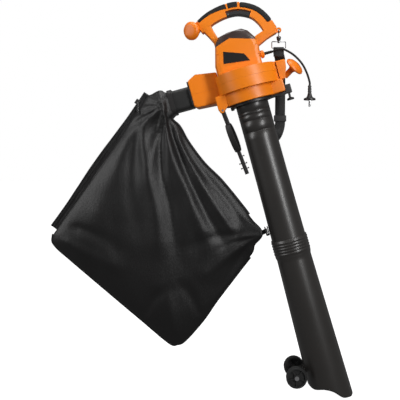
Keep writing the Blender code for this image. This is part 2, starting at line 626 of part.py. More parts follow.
def motor():
    """Stator, armature, brushes and bearings on the tool's own axis."""
    s = SHAFT_RADIUS
    bore = s + GAP
    rod("rotor_shaft", s, (0, 0, -0.041), (0, 0, 0.129), STEEL, 0.25, 1.0)
    turned("motor_plate", [(0.0095, 0.0295), (0.0095, DRUM_TOP + GAP), (0.050, DRUM_TOP + GAP), (0.050, 0.0315),
                           (0.018, 0.0325), (0.018, 0.042), (0.0145, 0.042), (0.0145, 0.0310), (0.0095, 0.0310)][::-1],
           (0.5, 0.5, 0.5), 0.5, 1.0, ring=True)
    for name, base in (("bearing_lower", 0.0313), ("bearing_upper", 0.1145)):
        turned(name, [(bore, base + 0.009), (0.0142, base + 0.009), (0.0142, base), (bore, base)], STEEL, 0.3, 1.0,
               ring=True)
    turned("cooling_fan", [(bore, 0.0515), (0.011, 0.0515), (0.011, 0.0455), (FAN_RADIUS, 0.0455), (FAN_RADIUS, 0.044),
                           (bore, 0.044)], GREY, 0.5, ring=True)
    blades = solid("fan_blades", lambda work: vanes(work, 9, 0.010, FAN_RADIUS - 0.001, 0.0450, 0.0525, 0.0015))
    join(bpy.data.objects["cooling_fan"], add("fan_blades", blades))
    turned("stator_core", [(ARMATURE_RADIUS + 0.001, 0.096), (STATOR_RADIUS, 0.096), (STATOR_RADIUS, 0.058),
                           (ARMATURE_RADIUS + 0.001, 0.058)], (0.3, 0.3, 0.31), 0.4, 1.0, ring=True)
    for name, base in (("field_coil_lower", 0.0535), ("field_coil_upper", 0.0963)):
        top = base + (0.0042 if base < 0.06 else 0.0032)
        turned(name, [(0.028, top), (0.041, top), (0.043, base), (0.026, base)], COPPER, 0.35, 1.0, ring=True)
    turned("armature", [(bore, 0.0975), (0.014, 0.0985), (0.020, 0.0955), (ARMATURE_RADIUS, 0.092),
                        (ARMATURE_RADIUS, 0.060), (0.020, 0.0565), (0.014, 0.055), (bore, 0.055)],
           (0.35, 0.34, 0.33), 0.4, 1.0, ring=True)
    turned("commutator", [(bore, 0.1120), (0.011, 0.1120), (0.011, 0.0990), (bore, 0.0990)], COPPER, 0.25, 1.0,
           ring=True)
    bracket = turned("brush_bracket", [(0.0145, BRUSH_PLATE + 0.003), (0.0547, BRUSH_PLATE + 0.003),
                                       (0.0547, BRUSH_PLATE), (0.0145, BRUSH_PLATE)], BLACK, 0.55, ring=True)
    cup = turned("bearing_cup", [(0.0145, 0.1245), (0.018, 0.1245), (0.018, 0.1125), (0.0145, 0.1125)], ring=True)
    towers = [block(f"brush_tower_{k}", (-0.008, min(side * 0.0135, side * 0.030), BRUSH_PLATE + 0.001),
                    (0.008, max(side * 0.0135, side * 0.030), 0.1140)) for k, side in enumerate((-1, 1))]
    clear = rod("bearing_clear", 0.0145, (0, 0, BRUSH_PLATE - 0.01), (0, 0, 0.13), sides=18)
    tunnel = block("brush_tunnel", (-0.0033, -0.04, 0.1017), (0.0033, 0.04, 0.1103))
    join(bracket, *towers, cup)
    cut(bracket, clear, tunnel)
    for name, side in (("brush_near", -1), ("brush_far", 1)):
        low, high = sorted((side * (0.011 + GAP), side * 0.026))
        block(name, (-0.003, low, 0.1020), (0.003, high, 0.1100), (0.05, 0.05, 0.05), 0.6)


def vanes(work, count, inner, outer, low, high, thickness):
    """Straight radial blades around Z."""
    for k in range(count):
        turn = Matrix.Rotation(2 * math.pi * k / count, 4, "Z")
        size = Matrix.Diagonal((outer - inner, thickness, high - low, 1.0))
        middle = Matrix.Translation(((inner + outer) / 2, 0, (low + high) / 2))
        bmesh.ops.create_cube(work, size=1.0, matrix=turn @ middle @ size)


def fan():
    """The shredding fan in the volute."""
    bore = SHAFT_RADIUS + GAP
    wheel = turned("impeller", [(bore, 0.0175), (0.018, 0.0175), (IMPELLER_RADIUS, 0.0175), (IMPELLER_RADIUS, 0.0145),
                                (0.020, 0.0145), (0.013, -0.019), (bore, -0.019)], GREY, 0.5, ring=True)
    join(wheel, add("impeller_vanes", solid("impeller_vanes", lambda work: vanes(
        work, 6, 0.012, IMPELLER_RADIUS - 0.001, -0.018, 0.016, 0.004))))
    knife = block("shredder_blade", (-0.043, -0.008, -0.0218), (0.043, 0.008, -0.0193), STEEL, 0.3, 1.0)
    ease(knife, 0.003)
    cut(knife, rod("knife_bore", bore, (0, 0, -0.05), (0, 0, 0.0), sides=18))
    nut = rod("impeller_nut", 0.010, (0, 0, -0.0301), (0, 0, -0.0221), STEEL, 0.3, 1.0, sides=6)
    cut(nut, rod("nut_bore", bore, (0, 0, -0.05), (0, 0, 0.0), sides=18))


def tubes():
    """The tube's mounting flange with its lock screw, the upper tube and the flared lower tube on wheels."""
    top, base = COLLAR_BASE - GAP, COLLAR_BASE - 0.007
    mount = turned("tube_mount", [(TUBE_RADIUS + GAP, top), (0.066, top), (0.066, base), (TUBE_RADIUS + GAP, base)],
                   BLACK, 0.5, steps=30, ring=True)
    ear = block("mount_ear", (0.055, -0.018, base + 0.0004), (ARM_END + 0.002, 0.018, top - 0.0004))
    hook = block("mount_hook", (-0.066, -0.009, base - 0.006), (-0.055, 0.009, top - 0.0007))
    ease(hook, 0.002)
    horn = block("mount_horn", (ARM_END + GAP, -0.010, base + 0.0008), (LOCK_AT + 0.010, 0.010, -0.047))
    ease(horn, 0.002)
    screw_bore = rod("lock_bore", 0.0035 + GAP, (LOCK_AT, 0, base - 0.01), (LOCK_AT, 0, -0.03), sides=18)
    nut_room = rod("lock_nut_room", 0.006 + GAP, (LOCK_AT, 0, -0.0535), (LOCK_AT, 0, -0.03), sides=18)
    join(mount, ear, hook, horn)
    cut(mount, screw_bore, nut_room)
    turned("lock_nut", [(0.0035 + GAP, -0.0475), (0.006, -0.0475), (0.006, -0.0532), (0.0035 + GAP, -0.0532)],
           (0.7, 0.5, 0.15), 0.3, 1.0, steps=18, ring=True, at=(LOCK_AT, 0, 0))
    turned("lock_screw", [(0, -0.0485), (0.0035, -0.0485), (0.0035, base - 0.012), (0.0105, base - 0.0150),
                          (0.0115, base - 0.0175), (0.0105, base - 0.0205), (0, base - 0.0205)],
           BLACK, 0.5, steps=18, at=(LOCK_AT, 0, 0))
    low = top - UPPER_LENGTH
    r, w, wide = TUBE_RADIUS, TUBE_WALL, TUBE_RADIUS + TUBE_FLARE
    outer = [(r, top - GAP)]
    for z in (0.030, 0.056):
        outer += [(r + 0.0002, top - z), (r - 0.0006, top - z - 0.0012), (r + 0.0003, top - z - 0.0024)]
    outer += [(wide, low + 0.02), (wide, low)]
    turned("upper_tube", [*outer, (wide - w, low), (r - w, top - GAP)], GREY, 0.35, steps=26, ring=True)

    rim = low + SOCKET_DEPTH
    inner = wide + GAP
    end = rim - LOWER_LENGTH - 0.06
    outside = [(inner + 0.0022, rim)]
    for k in range(3):
        z = rim - 0.008 - 0.014 * k
        outside += [(inner + 0.0030, z), (inner + 0.0022, z - 0.004)]
    step = low - GAP - 0.004
    outside += [(inner + 0.0020, step), (r + 0.0025, step - 0.008), (MOUTH_RADIUS - 0.0022, end + 0.070),
                (MOUTH_RADIUS, end)]
    inside = [(MOUTH_RADIUS - w, end), (MOUTH_RADIUS - w - 0.0022, end + 0.070), (r + 0.0025 - w, step - 0.008),
              (wide - w, low - GAP), (inner, low - GAP), (inner, rim)]
    pipe = turned("lower_tube", outside + inside, GREY, 0.35, steps=26, ring=True)
    # the mouth's waved edge, in heights above the lower tube's end
    lip = smooth([(-0.078, 0.021), (-0.066, 0.008), (-0.050, -0.005), (-0.021, -0.007), (0.004, -0.019),
                  (0.026, -0.043), (0.044, -0.052), (0.060, -0.056), (0.078, -0.044)], 3)
    edge = [(x, LOWER_END + z) for x, z in lip]
    cut(pipe, plate("lip_cut", [*edge, (0.078, end - 0.074), (-0.078, end - 0.074)], -0.09, 0.09))
    x, z = AXLE_AT
    half = WHEEL_TRACK / 2 - WHEEL_WIDTH / 2 - 0.001
    sleeve = rod("axle_sleeve", 0.0085, (x, -half, z), (x, half, z), sides=18)
    web = block("axle_web", (x + 0.002, -0.020, z - 0.006), (x + 0.036, 0.020, z + 0.006))
    pipe_room = rod("pipe_room", MOUTH_RADIUS - w - 0.004, (0, 0, z - 0.05), (0, 0, z + 0.05), sides=26)
    cut(web, pipe_room)
    join(pipe, sleeve, web)
    cut(pipe, rod("axle_bore", AXLE_RADIUS + GAP, (x, -0.1, z), (x, 0.1, z), sides=18))


def wheels():
    """Two spoked wheels on one axle, turning about Y."""
    x, z = AXLE_AT
    r, w = WHEEL_RADIUS, WHEEL_WIDTH / 2
    bore = AXLE_RADIUS + GAP
    end = WHEEL_TRACK / 2 + w
    axle = rod("wheel_axle", AXLE_RADIUS, (x, -end, z), (x, end, z), STEEL, 0.3, 1.0, sides=16)
    caps = [rod(f"axle_cap_{k}", 0.0065, (x, side * (end + GAP), z), (x, side * (end + 0.0025), z), sides=16)
            for k, side in enumerate((-1, 1))]
    stubs = [rod(f"axle_stub_{k}", AXLE_RADIUS - 0.0002, (x, side * (end - 0.005), z), (x, side * (end + 0.001), z),
                 sides=16) for k, side in enumerate((-1, 1))]
    join(axle, *stubs, *caps)
    for name, side in (("wheel_near", -1), ("wheel_far", 1)):
        at = (x, side * WHEEL_TRACK / 2, z)
        wheel = turned(name, [(bore, w), (0.009, w), (0.010, w * 0.35), (r - 0.007, w * 0.35), (r - 0.006, w),
                              (r - 0.0015, w), (r, w * 0.8), (r, -w * 0.8), (r - 0.0015, -w), (r - 0.006, -w),
                              (r - 0.007, -w * 0.35), (0.010, -w * 0.35), (0.009, -w), (bore, -w)],
                       BLACK, 0.5, steps=20, ring=True, at=at, turn=towards((0, 1, 0)))
        spokes = solid(f"{name}_spokes", lambda work: vanes(work, 5, 0.0075, r - 0.005, -w * 0.8, w * 0.8, 0.003))
        join(wheel, add(f"{name}_spokes", spokes, at=at, turn=towards((0, 1, 0))))


def outlet():
    """The black duct piece between the volute's outlet and the bag, plugged into the outlet."""
    end = DUCT_END - ADAPTER_LENGTH
    piece = duct_piece("bag_adapter", (end, DUCT_END - 0.001), *ADAPTER, ADAPTER_ROUND, BLACK, 0.5)
    flange = duct_piece("adapter_flange", (DUCT_END - 0.004, DUCT_END - GAP), (DUCT_NEAR + 0.002, -0.0350),
                        (DUCT_FAR - 0.002, 0.0435), 0.008)
    plug = duct_piece("adapter_plug", (DUCT_END - 0.002, DUCT_END + 0.009), *grown(MOUTH_LOW, MOUTH_HIGH, -GAP), 0.006)
    way = duct_piece("adapter_way", (end - 0.02, DUCT_END + 0.03), *grown(*ADAPTER, -TUBE_WALL), ADAPTER_ROUND - TUBE_WALL)
    join(piece, flange, plug)
    cut(piece, way)


# Bag: corner points of its outline in world X and Z, as it hangs from the outlet and the tube's hook
BAG = [(-0.237, -0.2475), (-0.275, -0.256), (-0.298, -0.278), (-0.410, -0.447), (-0.560, -0.660), (-0.583, -0.700),
       (-0.575, -0.727), (-0.526, -0.771), (-0.380, -0.895), (-0.305, -0.958), (-0.221, -1.028), (-0.195, -1.033),
       (-0.170, -1.020), (-0.115, -0.958), (-0.071, -0.895), (0.000, -0.802), (0.044, -0.740), (0.046, -0.700),
       (0.020, -0.630), (-0.056, -0.525), (-0.112, -0.469), (-0.160, -0.405), (-0.188, -0.356), (-0.216, -0.325)]
ZIP_TOP = Vector((-0.296, BAG_Y, -0.249))
ZIP_END = Vector((-0.588, BAG_Y, -0.664))
ZIP_WAY = (ZIP_END - ZIP_TOP).normalized()


def sack(name, outline, depth, *finish):
    """A cushion: the outline with a narrow edge, rising to its depth in the middle on both sides."""
    middle = sum((Vector(p) for p in outline), Vector((0, 0))) / len(outline)
    count = len(outline)
    sizes = [(0.0, depth * 1.05), (0.55, depth), (0.86, depth * 0.72), (1.0, depth * 0.17)]

    def build(work):
        tips = [work.verts.new((middle.x, BAG_Y + side * sizes[0][1], middle.y)) for side in (-1, 1)]
        layers = []
        for scale, y in [*((s, -y) for s, y in sizes[1:]), *((s, y) for s, y in sizes[:0:-1])]:
            places = [middle + (Vector(p) - middle) * scale for p in outline]
            layers.append([work.verts.new((p.x, BAG_Y + y, p.y)) for p in places])
        for one, other in zip(layers, layers[1:]):
            for i in range(count):
                j = (i + 1) % count
                work.faces.new((one[i], one[j], other[j], other[i]))
        for layer, tip in zip((layers[0], layers[-1]), tips):
            for i in range(count):
                work.faces.new((layer[i], layer[(i + 1) % count], tip))

    return add(name, solid(name, build), *finish, parent=None)


def bag():
    """The collecting bag, hollow and open at its neck, with the zip's flap let into its upper edge."""
    cloth = sack("collecting_bag", BAG, BAG_HALF, BLACK, 0.8)
    room = sack("bag_room", inset(BAG, BAG_CLOTH * 1.5), BAG_HALF - BAG_CLOTH)
    end = DUCT_END - ADAPTER_LENGTH
    cloth_out = BAG_CLOTH + GAP
    mouth = (*grown(*ADAPTER, cloth_out), ADAPTER_ROUND + cloth_out)
    neck = loft("neck_form", [(end - 0.085, *NECK_END, 0.016), (end - 0.004, *mouth), (end + 0.026, *mouth)])
    sleeve = duct_piece("neck_room", (end - 0.004, end + 0.06), *grown(*ADAPTER, GAP), ADAPTER_ROUND + GAP)
    throat = loft("neck_throat", [(end - 0.082, *grown(*NECK_END, -BAG_CLOTH), 0.014),
                                  (end - 0.0035, *grown(*ADAPTER, -0.0008), ADAPTER_ROUND - 0.0008)])
    hook_at = Vector((BAG_HOOK[0] + 0.00035, 0.0, BAG_HOOK[1]))
    last = TOOL_FRAME @ hook_at
    tab = ribbon_mesh("bag_tab", [(0.020, 0.040, -0.6950), (0.048, 0.034, -0.6900), (0.066, 0.022, -0.6840),
                                  (last.x - 0.0027, 0.0130, last.z - 0.0012), (last.x, 0.0085, last.z), (last.x, -0.0095, last.z)],
                      TOOL_FRAME.col[2].xyz, 0.014, 0.0022)
    turn = towards(ZIP_WAY)
    length = (ZIP_END - ZIP_TOP).length
    flap = block("zip_flap", (-0.002, -FLAP_WIDTH, 0.0), (0.002, 0.002, length), parent=None, at=ZIP_TOP, turn=turn)
    ease(flap, 0.001, 1)
    path = block("slider_path", (-0.0065, -0.0045, -0.02), (0.0065, 0.02, length + 0.02), parent=None, at=ZIP_TOP, turn=turn)
    join(cloth, neck, add("bag_tab", tab, parent=None))
    cut(cloth, room, sleeve, throat, path)
    join(cloth, flap)
    slider = block("zip_slider", (-0.006, -0.004, 0.030), (0.006, 0.0085, 0.046), STEEL, 0.35, 1.0, parent=None, at=ZIP_TOP,
                   turn=turn)
    ease(slider, 0.0015)
    cut(slider, block("slider_slot", (-0.002 - GAP, -0.006, 0.0), (0.002 + GAP, 0.002 + GAP, 0.08), parent=None, at=ZIP_TOP,
                      turn=turn))
    band = duct_piece("neck_band", (end + 0.006, end + 0.020), *grown(*ADAPTER, cloth_out + 0.0026), ADAPTER_ROUND + cloth_out
                      + 0.0026, BLACK, 0.6)
    cut(band, duct_piece("band_room", (end - 0.02, end + 0.06), *grown(*ADAPTER, cloth_out + GAP), ADAPTER_ROUND + cloth_out + GAP))
    x, z = BAG_HOOK
    hook = block("bag_hook", (x - 0.0055, -0.007, z - 0.014), (x + 0.0058, 0.007, z + 0.014), BLACK, 0.5)
    ease(hook, 0.0015, 1)
    cut(hook, block("hook_slot", (x - 0.0018, -0.02, z - 0.009), (x + 0.0025, 0.02, z + 0.03)))


def ribbon_mesh(name, path, across, width, thickness):
    """A strip of constant width and thickness along a path, its width lying along the direction across."""
    path = [Vector(p) for p in path]
    side = Vector(across).normalized() * width / 2
    sections = []
    for i, point in enumerate(path):
        along = (path[min(i + 1, len(path) - 1)] - path[max(i - 1, 0)]).normalized()
        out = along.cross(side).normalized() * thickness / 2
        sections.append([point + side + out, point - side + out, point - side - out, point + side - out])

    def build(work):
        rows = [[work.verts.new(corner) for corner in section] for section in sections]
        for one, other in zip(rows, rows[1:]):
            for i in range(4):
                work.faces.new((one[i], one[i - 1], other[i - 1], other[i]))
        work.faces.new(rows[0])
        work.faces.new(rows[-1][::-1])

    return solid(name, build)


def cable_mesh(name, path, radius, detail=2):
    """A round bar along a path, with filled ends."""
    curve = bpy.data.curves.new(name, "CURVE")
    curve.dimensions = "3D"
    curve.bevel_depth = radius
    curve.bevel_resolution = detail
    curve.use_fill_caps = True
    spline = curve.splines.new("POLY")
    spline.points.add(len(path) - 1)
    for point, place in zip(spline.points, path):
        point.co = (*place, 1.0)
    guide = bpy.data.objects.new(name, curve)
    CUTTERS.objects.link(guide)
    graph = bpy.context.evaluated_depsgraph_get()
    mesh = bpy.data.meshes.new_from_object(guide.evaluated_get(graph))
    bpy.data.objects.remove(guide)
    work = bmesh.new()
    work.from_mesh(mesh)
    bmesh.ops.remove_doubles(work, verts=work.verts, dist=0.000001)
    bmesh.ops.recalc_face_normals(work, faces=work.faces)
    work.to_mesh(mesh)
    work.free()
    return rounded(mesh, 50)


def lead():
    """The mains lead as it hangs, from its sleeve over the strap to the plug."""
    start = TOOL_FRAME @ Vector((RELIEF_TIP + GAP, GLAND_AT.y, GLAND_AT.z))
    x, y = PLUG_AT
    along = TOOL_FRAME.col[0].xyz
    route = smooth([start, start + along * 0.004, (0.1080, -0.0095, -0.1258), (0.1250, -0.0100, -0.1225), (0.1400, -0.0100, -0.1265),
                    (0.1650, -0.0090, -0.1420), (0.1880, -0.0085, -0.1665), (0.2030, -0.0082, -0.1950), (x, y, PLUG_TOP + 0.010), (x, y, PLUG_TOP + GAP)], 8)
    run = [start, start + along * 0.002, *even(route, 28)[2:-1], (x, y, PLUG_TOP + 0.002), (x, y, PLUG_TOP + GAP)]
    add("mains_cord", cable_mesh("mains_cord", run, CORD_RADIUS), BLACK, 0.6, parent=None)
    top, rim, face = 0.0, PLUG_FLANGE - PLUG_TOP, PLUG_FLANGE - PLUG_TOP - 0.0055
    ribs = [(0.0046, top)]
    for k in range(3):
        z = top - 0.004 - 0.0075 * k
        ribs += [(0.0058 + 0.0002 * k, z), (0.0047 + 0.0002 * k, z - 0.0028)]
    turned("plug_body", [(0, top), *ribs, (0.0075, rim + 0.008), (0.010, rim + 0.003), (0.0175, rim), (0.018, rim - 0.002),
                         (0.018, face), (0, face)], BLACK, 0.5, parent=None, at=(x, y, PLUG_TOP), steps=18)
    for name, side in (("plug_pin_near", -1), ("plug_pin_far", 1)):
        place = (x, y + side * PIN_SPACING / 2, PLUG_TOP + face - GAP)
        pin = rod(name, 0.0024, (0, 0, 0), (0, 0, -0.019), STEEL, 0.25, 1.0, sides=12, parent=None, at=place)
        ease(pin, 0.0008, 1)


def strap():
    """The snap hook in the handle's eye, its ring, and the shoulder strap with a buckle, hanging behind the head."""
    eye = TOOL_FRAME @ Vector((HOOK_HOLE[0], 0.0, HOOK_HOLE[1]))
    x, top = eye.x, eye.z - HOOK_DROP
    wire = [(0, 0.0052, -HOOK_DROP - 0.004), (0, 0.0074, -HOOK_DROP + 0.0060), (0, 0.0085, -0.006), (0, 0.0070, -0.0020),
            (0, 0.0030, 0.0), (0, -0.0030, 0.0), (0, -0.0070, -0.0020), (0, -0.0085, -0.0055), (0, -0.0085, -0.0100)]
    loop = cable_mesh("snap_hook_wire", even(smooth(wire, 6), 14), HOOK_WIRE, 1)
    hook = turned("snap_hook", [(0, 0.0), (0.0062, 0.0), (0.0070, -0.003), (0.0055, -0.011), (0.0042, -0.0130), (0.0019, -0.0131),
                                (0.0019, -0.0178), (0.0030, -0.0180), (0.0030, -0.0196), (0, -0.0196)],
                  (0.1, 0.1, 0.1), 0.35, 1.0, parent=None, at=(x, 0, top), steps=14)
    gate_room = block("gate_room", (-0.0019, -0.012, -0.0052), (0.0019, -0.0038, 0.006), parent=None, at=(x, 0, top))
    cut(join(hook, add("snap_hook_wire", loop, parent=None, at=eye)), gate_room)
    rod("snap_gate", 0.0013, (0, 0, -0.0015), (0, -0.0030, HOOK_DROP - 0.0100 + 0.0035 - GAP), STEEL, 0.3, 1.0, sides=12,
        parent=None, at=(x, -0.0055, top - 0.0035))
    z, low = top - 0.0155, top - 0.0155 - RING_SIZE[1]
    half = RING_SIZE[0] / 2
    corner = 0.003
    round_path = []
    for cx, cz, first in ((half - corner, z - corner, 90), (half - corner, low + corner, 0), (corner - half, low + corner, -90),
                          (corner - half, z - corner, -180)):
        round_path += [(x + a, 0.0, b) for a, b in arc((cx, cz), corner, first, first - 90, 3)]
    ring = cable_ring("strap_ring", round_path, RING_WIRE, STEEL, 0.3, 1.0)
    eyelet = rod("ring_eyelet", 0.0046, (x, 0, z - 0.0019), (x, 0, z + 0.0019), sides=20, parent=None)
    join(ring, eyelet)
    cut(ring, rod("ring_bore", 0.0019 + GAP, (x, 0, z - 0.01), (x, 0, z + 0.01), sides=20, parent=None))
    reach = RING_WIRE + GAP + STRAP_THICK / 2
    fold = [(x, y, z) for y, z in arc((0.0, low), reach, 200, -20, 10)]
    run = smooth([fold[-1], (x, 0.0050, low - 0.014), (0.1240, 0.0300, -0.1500), (0.1250, 0.0560, -0.1720),
                  (0.1270, 0.0680, -0.2100), (0.1270, 0.0700, -0.2600), (BUCKLE.x, BUCKLE.y, BUCKLE.z + 0.020), tuple(BUCKLE), (BUCKLE.x, BUCKLE.y, BUCKLE.z - 0.020),
                  (0.1215, 0.0680, -0.3700), (0.1120, 0.0640, -0.4050), (0.1000, 0.0590, -0.4400), (0.0960, 0.0575, -0.4550)], 3)
    path = [(x, -reach - 0.0006, low - 0.026), *fold[:-1], *run]
    add("shoulder_strap", ribbon_mesh("shoulder_strap", path, (1, 0, 0), STRAP_WIDTH, STRAP_THICK), BLACK, 0.85, parent=None)
    frame_half = Vector((STRAP_WIDTH / 2 + 0.0035, 0.005, 0.010))
    buckle = block("strap_buckle", -frame_half, frame_half, BLACK, 0.5, parent=None, at=BUCKLE)
    ease(buckle, 0.002)
    cut(buckle, block("buckle_slot", (-STRAP_WIDTH / 2 - GAP, -STRAP_THICK / 2 - GAP, -0.03),
                      (STRAP_WIDTH / 2 + GAP, STRAP_THICK / 2 + GAP, 0.03), parent=None, at=BUCKLE))


def cable_ring(name, path, radius, *finish):
    """A closed round bar along a path that ends where it begins."""
    curve = bpy.data.curves.new(name, "CURVE")
    curve.dimensions = "3D"
    curve.bevel_depth = radius
    curve.bevel_resolution = 1
    spline = curve.splines.new("POLY")
    spline.points.add(len(path) - 1)
    for point, place in zip(spline.points, path):
        point.co = (*place, 1.0)
    spline.use_cyclic_u = True
    guide = bpy.data.objects.new(name, curve)
    CUTTERS.objects.link(guide)
    graph = bpy.context.evaluated_depsgraph_get()
    mesh = bpy.data.meshes.new_from_object(guide.evaluated_get(graph))
    bpy.data.objects.remove(guide)
    return add(name, rounded(mesh, 50), *finish, parent=None)


def tether():
    """The flat tether that hangs from the volute's lug."""
    pin = TOOL_FRAME @ Vector((TETHER_PIN[0], TETHER_Y, TETHER_PIN[1]))
    lean = math.atan2(TETHER_END[0] - pin.x, pin.z - TETHER_END[1])
    widths = [(-0.006, 0.004), (-0.003, 0.007), (0.042, 0.007), (0.044, 0.014), (0.130, 0.0125), (0.133, 0.006)]
    for place in (0.149, 0.169, 0.183):
        widths += [(place, 0.006), (place + 0.001, 0.0125), (place + 0.005, 0.0125), (place + 0.006, 0.006)]
    widths += [(0.200, 0.006), (0.205, 0.003)]
    outline = [(-w, -z) for z, w in widths] + [(w, -z) for z, w in widths[::-1]]
    turn = Matrix.Rotation(-lean, 3, "Y").to_quaternion()
    piece = plate("tether", outline, -TETHER_THICK / 2, TETHER_THICK / 2, BLACK, 0.6, parent=None, at=pin, turn=turn)
    cut(piece, rod("tether_hole", 0.003 + GAP, (0, -0.01, 0), (0, 0.01, 0), sides=18, parent=None, at=pin))
    x, z = TETHER_PIN
    low, high = LUG_Y
    rod("tether_pin", 0.003, (x, low + 0.001, z), (x, high - 0.001, z), STEEL, 0.3, 1.0, sides=18)


def fixings():
    """The plain badge plate and the two screws that hold the housing halves together."""
    plate("badge_plate", BADGE, -HEAD_HALF - GAP - 0.0012, -HEAD_HALF - GAP, BLACK, 0.3)
    for k, (x, z) in enumerate(SCREWS):
        name = ("housing_screw_rear", "housing_screw_front")[k]
        turned(name, [(0, 0.0), (0.0028, 0.0), (0.0034, -0.001), (0.0034, -0.0022), (SCREW_RADIUS, -0.0024),
                      (SCREW_RADIUS, -0.0240), (0, -0.0250)], STEEL, 0.3, 1.0, steps=20, at=(x, 0.0170, z),
               turn=towards((0, 1, 0)))


def main():
    hollow, _, legs = housing()
    motor_cover(hollow, legs)
    grips()
    trigger()
    dial_and_knob()
    cord_entry()
    volute()
    motor()
    fan()
    tubes()
    wheels()
    outlet()
    bag()
    lead()
    strap()
    tether()
    fixings()


main()
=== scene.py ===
# Electric leaf blower and vacuum: cloth bag, webbing, lead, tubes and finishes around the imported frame
import math

import bmesh
import bpy
import numpy as np
from mathutils import Matrix, Vector


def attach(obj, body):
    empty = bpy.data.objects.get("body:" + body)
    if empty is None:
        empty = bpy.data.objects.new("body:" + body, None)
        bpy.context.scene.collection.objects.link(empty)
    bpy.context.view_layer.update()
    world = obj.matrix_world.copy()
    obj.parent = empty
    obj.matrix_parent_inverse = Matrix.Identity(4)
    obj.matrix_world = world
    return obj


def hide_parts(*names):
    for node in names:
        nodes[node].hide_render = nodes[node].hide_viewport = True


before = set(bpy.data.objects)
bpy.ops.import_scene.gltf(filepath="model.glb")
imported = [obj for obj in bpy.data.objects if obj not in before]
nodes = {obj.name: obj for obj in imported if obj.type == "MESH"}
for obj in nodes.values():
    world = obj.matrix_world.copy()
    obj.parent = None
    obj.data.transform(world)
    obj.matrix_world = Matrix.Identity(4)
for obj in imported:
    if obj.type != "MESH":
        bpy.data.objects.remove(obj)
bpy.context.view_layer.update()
print("frame loaded:", len(nodes), "nodes")

tool = {"centre": (0.016, 0.0, -0.215), "tilt": 15.4}  # the motor's middle, and its lean in degrees
lean = math.radians(tool["tilt"])
toolCentre = np.array(tool["centre"])
toolX = np.array((math.cos(lean), 0.0, math.sin(lean)))  # along the duct, to the right
toolY = np.array((0.0, 1.0, 0.0))
toolZ = np.array((-math.sin(lean), 0.0, math.cos(lean)))  # up the motor's shaft


def toWorld(points):
    # local x, y, z along the tool's own directions, from the motor's middle
    p = np.asarray(points, float)
    return toolCentre + p[..., :1] * toolX + p[..., 1:2] * toolY + p[..., 2:3] * toolZ


def link(name, mesh, material=None, body="base", smooth=True, node=None):
    # a new object on a body; node is the CAD node that it shows in place of
    obj = bpy.data.objects.new(name, mesh)
    bpy.context.scene.collection.objects.link(obj)
    if material:
        mesh.materials.append(material)
    mesh.polygons.foreach_set("use_smooth", np.full(len(mesh.polygons), smooth))
    if body:
        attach(obj, body)
    if node:
        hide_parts(node)
    return obj


def gridFaces(rows, cols, wrapRows, wrapCols):
    # four corners of each cell of a rows by cols grid, as row and column numbers that may run one past the end
    i, j = np.meshgrid(np.arange(rows - (not wrapRows)), np.arange(cols - (not wrapCols)), indexing="ij")
    i, j = i.ravel(), j.ravel()
    return np.stack((i, i + 1, i + 1, i), 1), np.stack((j, j, j + 1, j + 1), 1)


def gridMesh(name, points, wrapRows=False, wrapCols=False, capStart=False, capEnd=False, uvSize=(1.0, 1.0)):
    # a surface of rows and columns; a capped end gets one flat face; UVs run from 0 to uvSize in metres
    points = np.asarray(points, float)
    rows, cols = points.shape[:2]
    i, j = gridFaces(rows, cols, wrapRows, wrapCols)
    faces = ((i % rows) * cols + (j % cols)).tolist()
    if capStart:
        faces.append(list(range(cols))[::-1])
    if capEnd:
        faces.append([(rows - 1) * cols + k for k in range(cols)])
    mesh = bpy.data.meshes.new(name)
    mesh.from_pydata(points.reshape(-1, 3).tolist(), [], faces)
    layer = mesh.uv_layers.new(name="UVMap")
    u = i.ravel() / max(rows - (not wrapRows), 1) * uvSize[0]
    v = j.ravel() / max(cols - (not wrapCols), 1) * uvSize[1]
    flat = np.zeros((len(mesh.loops), 2))
    flat[: len(u)] = np.stack((u, v), 1)
    layer.data.foreach_set("uv", flat.ravel())
    mesh.validate()
    return mesh


def joined(name, parts, mesh=None, apart=1e-6):
    # several meshes as one, with doubles merged and the faces of each closed shell turned outwards
    work = bmesh.new()
    for part in parts:
        work.from_mesh(part)
    bmesh.ops.remove_doubles(work, verts=work.verts, dist=apart)
    bmesh.ops.recalc_face_normals(work, faces=work.faces)
    mesh = mesh or bpy.data.meshes.new(name)
    work.to_mesh(mesh)
    work.free()
    return mesh


def outward(mesh):
    return joined(mesh.name, [mesh], mesh)


def splineThrough(knots, count, closed=False):
    # a Catmull-Rom curve through the knots, then spaced evenly by length
    k = np.asarray(knots, float)
    if closed:
        k = np.vstack((k[-1:], k, k[:2]))
    else:
        k = np.vstack((2 * k[0] - k[1], k, 2 * k[-1] - k[-2]))
    t = np.linspace(0, 1, 24, endpoint=False)[None, :, None]
    a, b, c, d = k[:-3, None], k[1:-2, None], k[2:-1, None], k[3:, None]
    run = 0.5 * (2 * b + (c - a) * t + (2 * a - 5 * b + 4 * c - d) * t**2 + (3 * b - a - 3 * c + d) * t**3)
    run = np.vstack((run.reshape(-1, k.shape[1]), k[-2:-1]))
    steps = np.r_[0, np.cumsum(np.linalg.norm(np.diff(run, axis=0), axis=1))]
    goal = np.linspace(0, steps[-1], count + 1 if closed else count)
    out = np.stack([np.interp(goal, steps, run[:, n]) for n in range(run.shape[1])], 1)
    return out[:-1] if closed else out


def lengthOf(run):
    return float(np.linalg.norm(np.diff(run, axis=0), axis=1).sum())


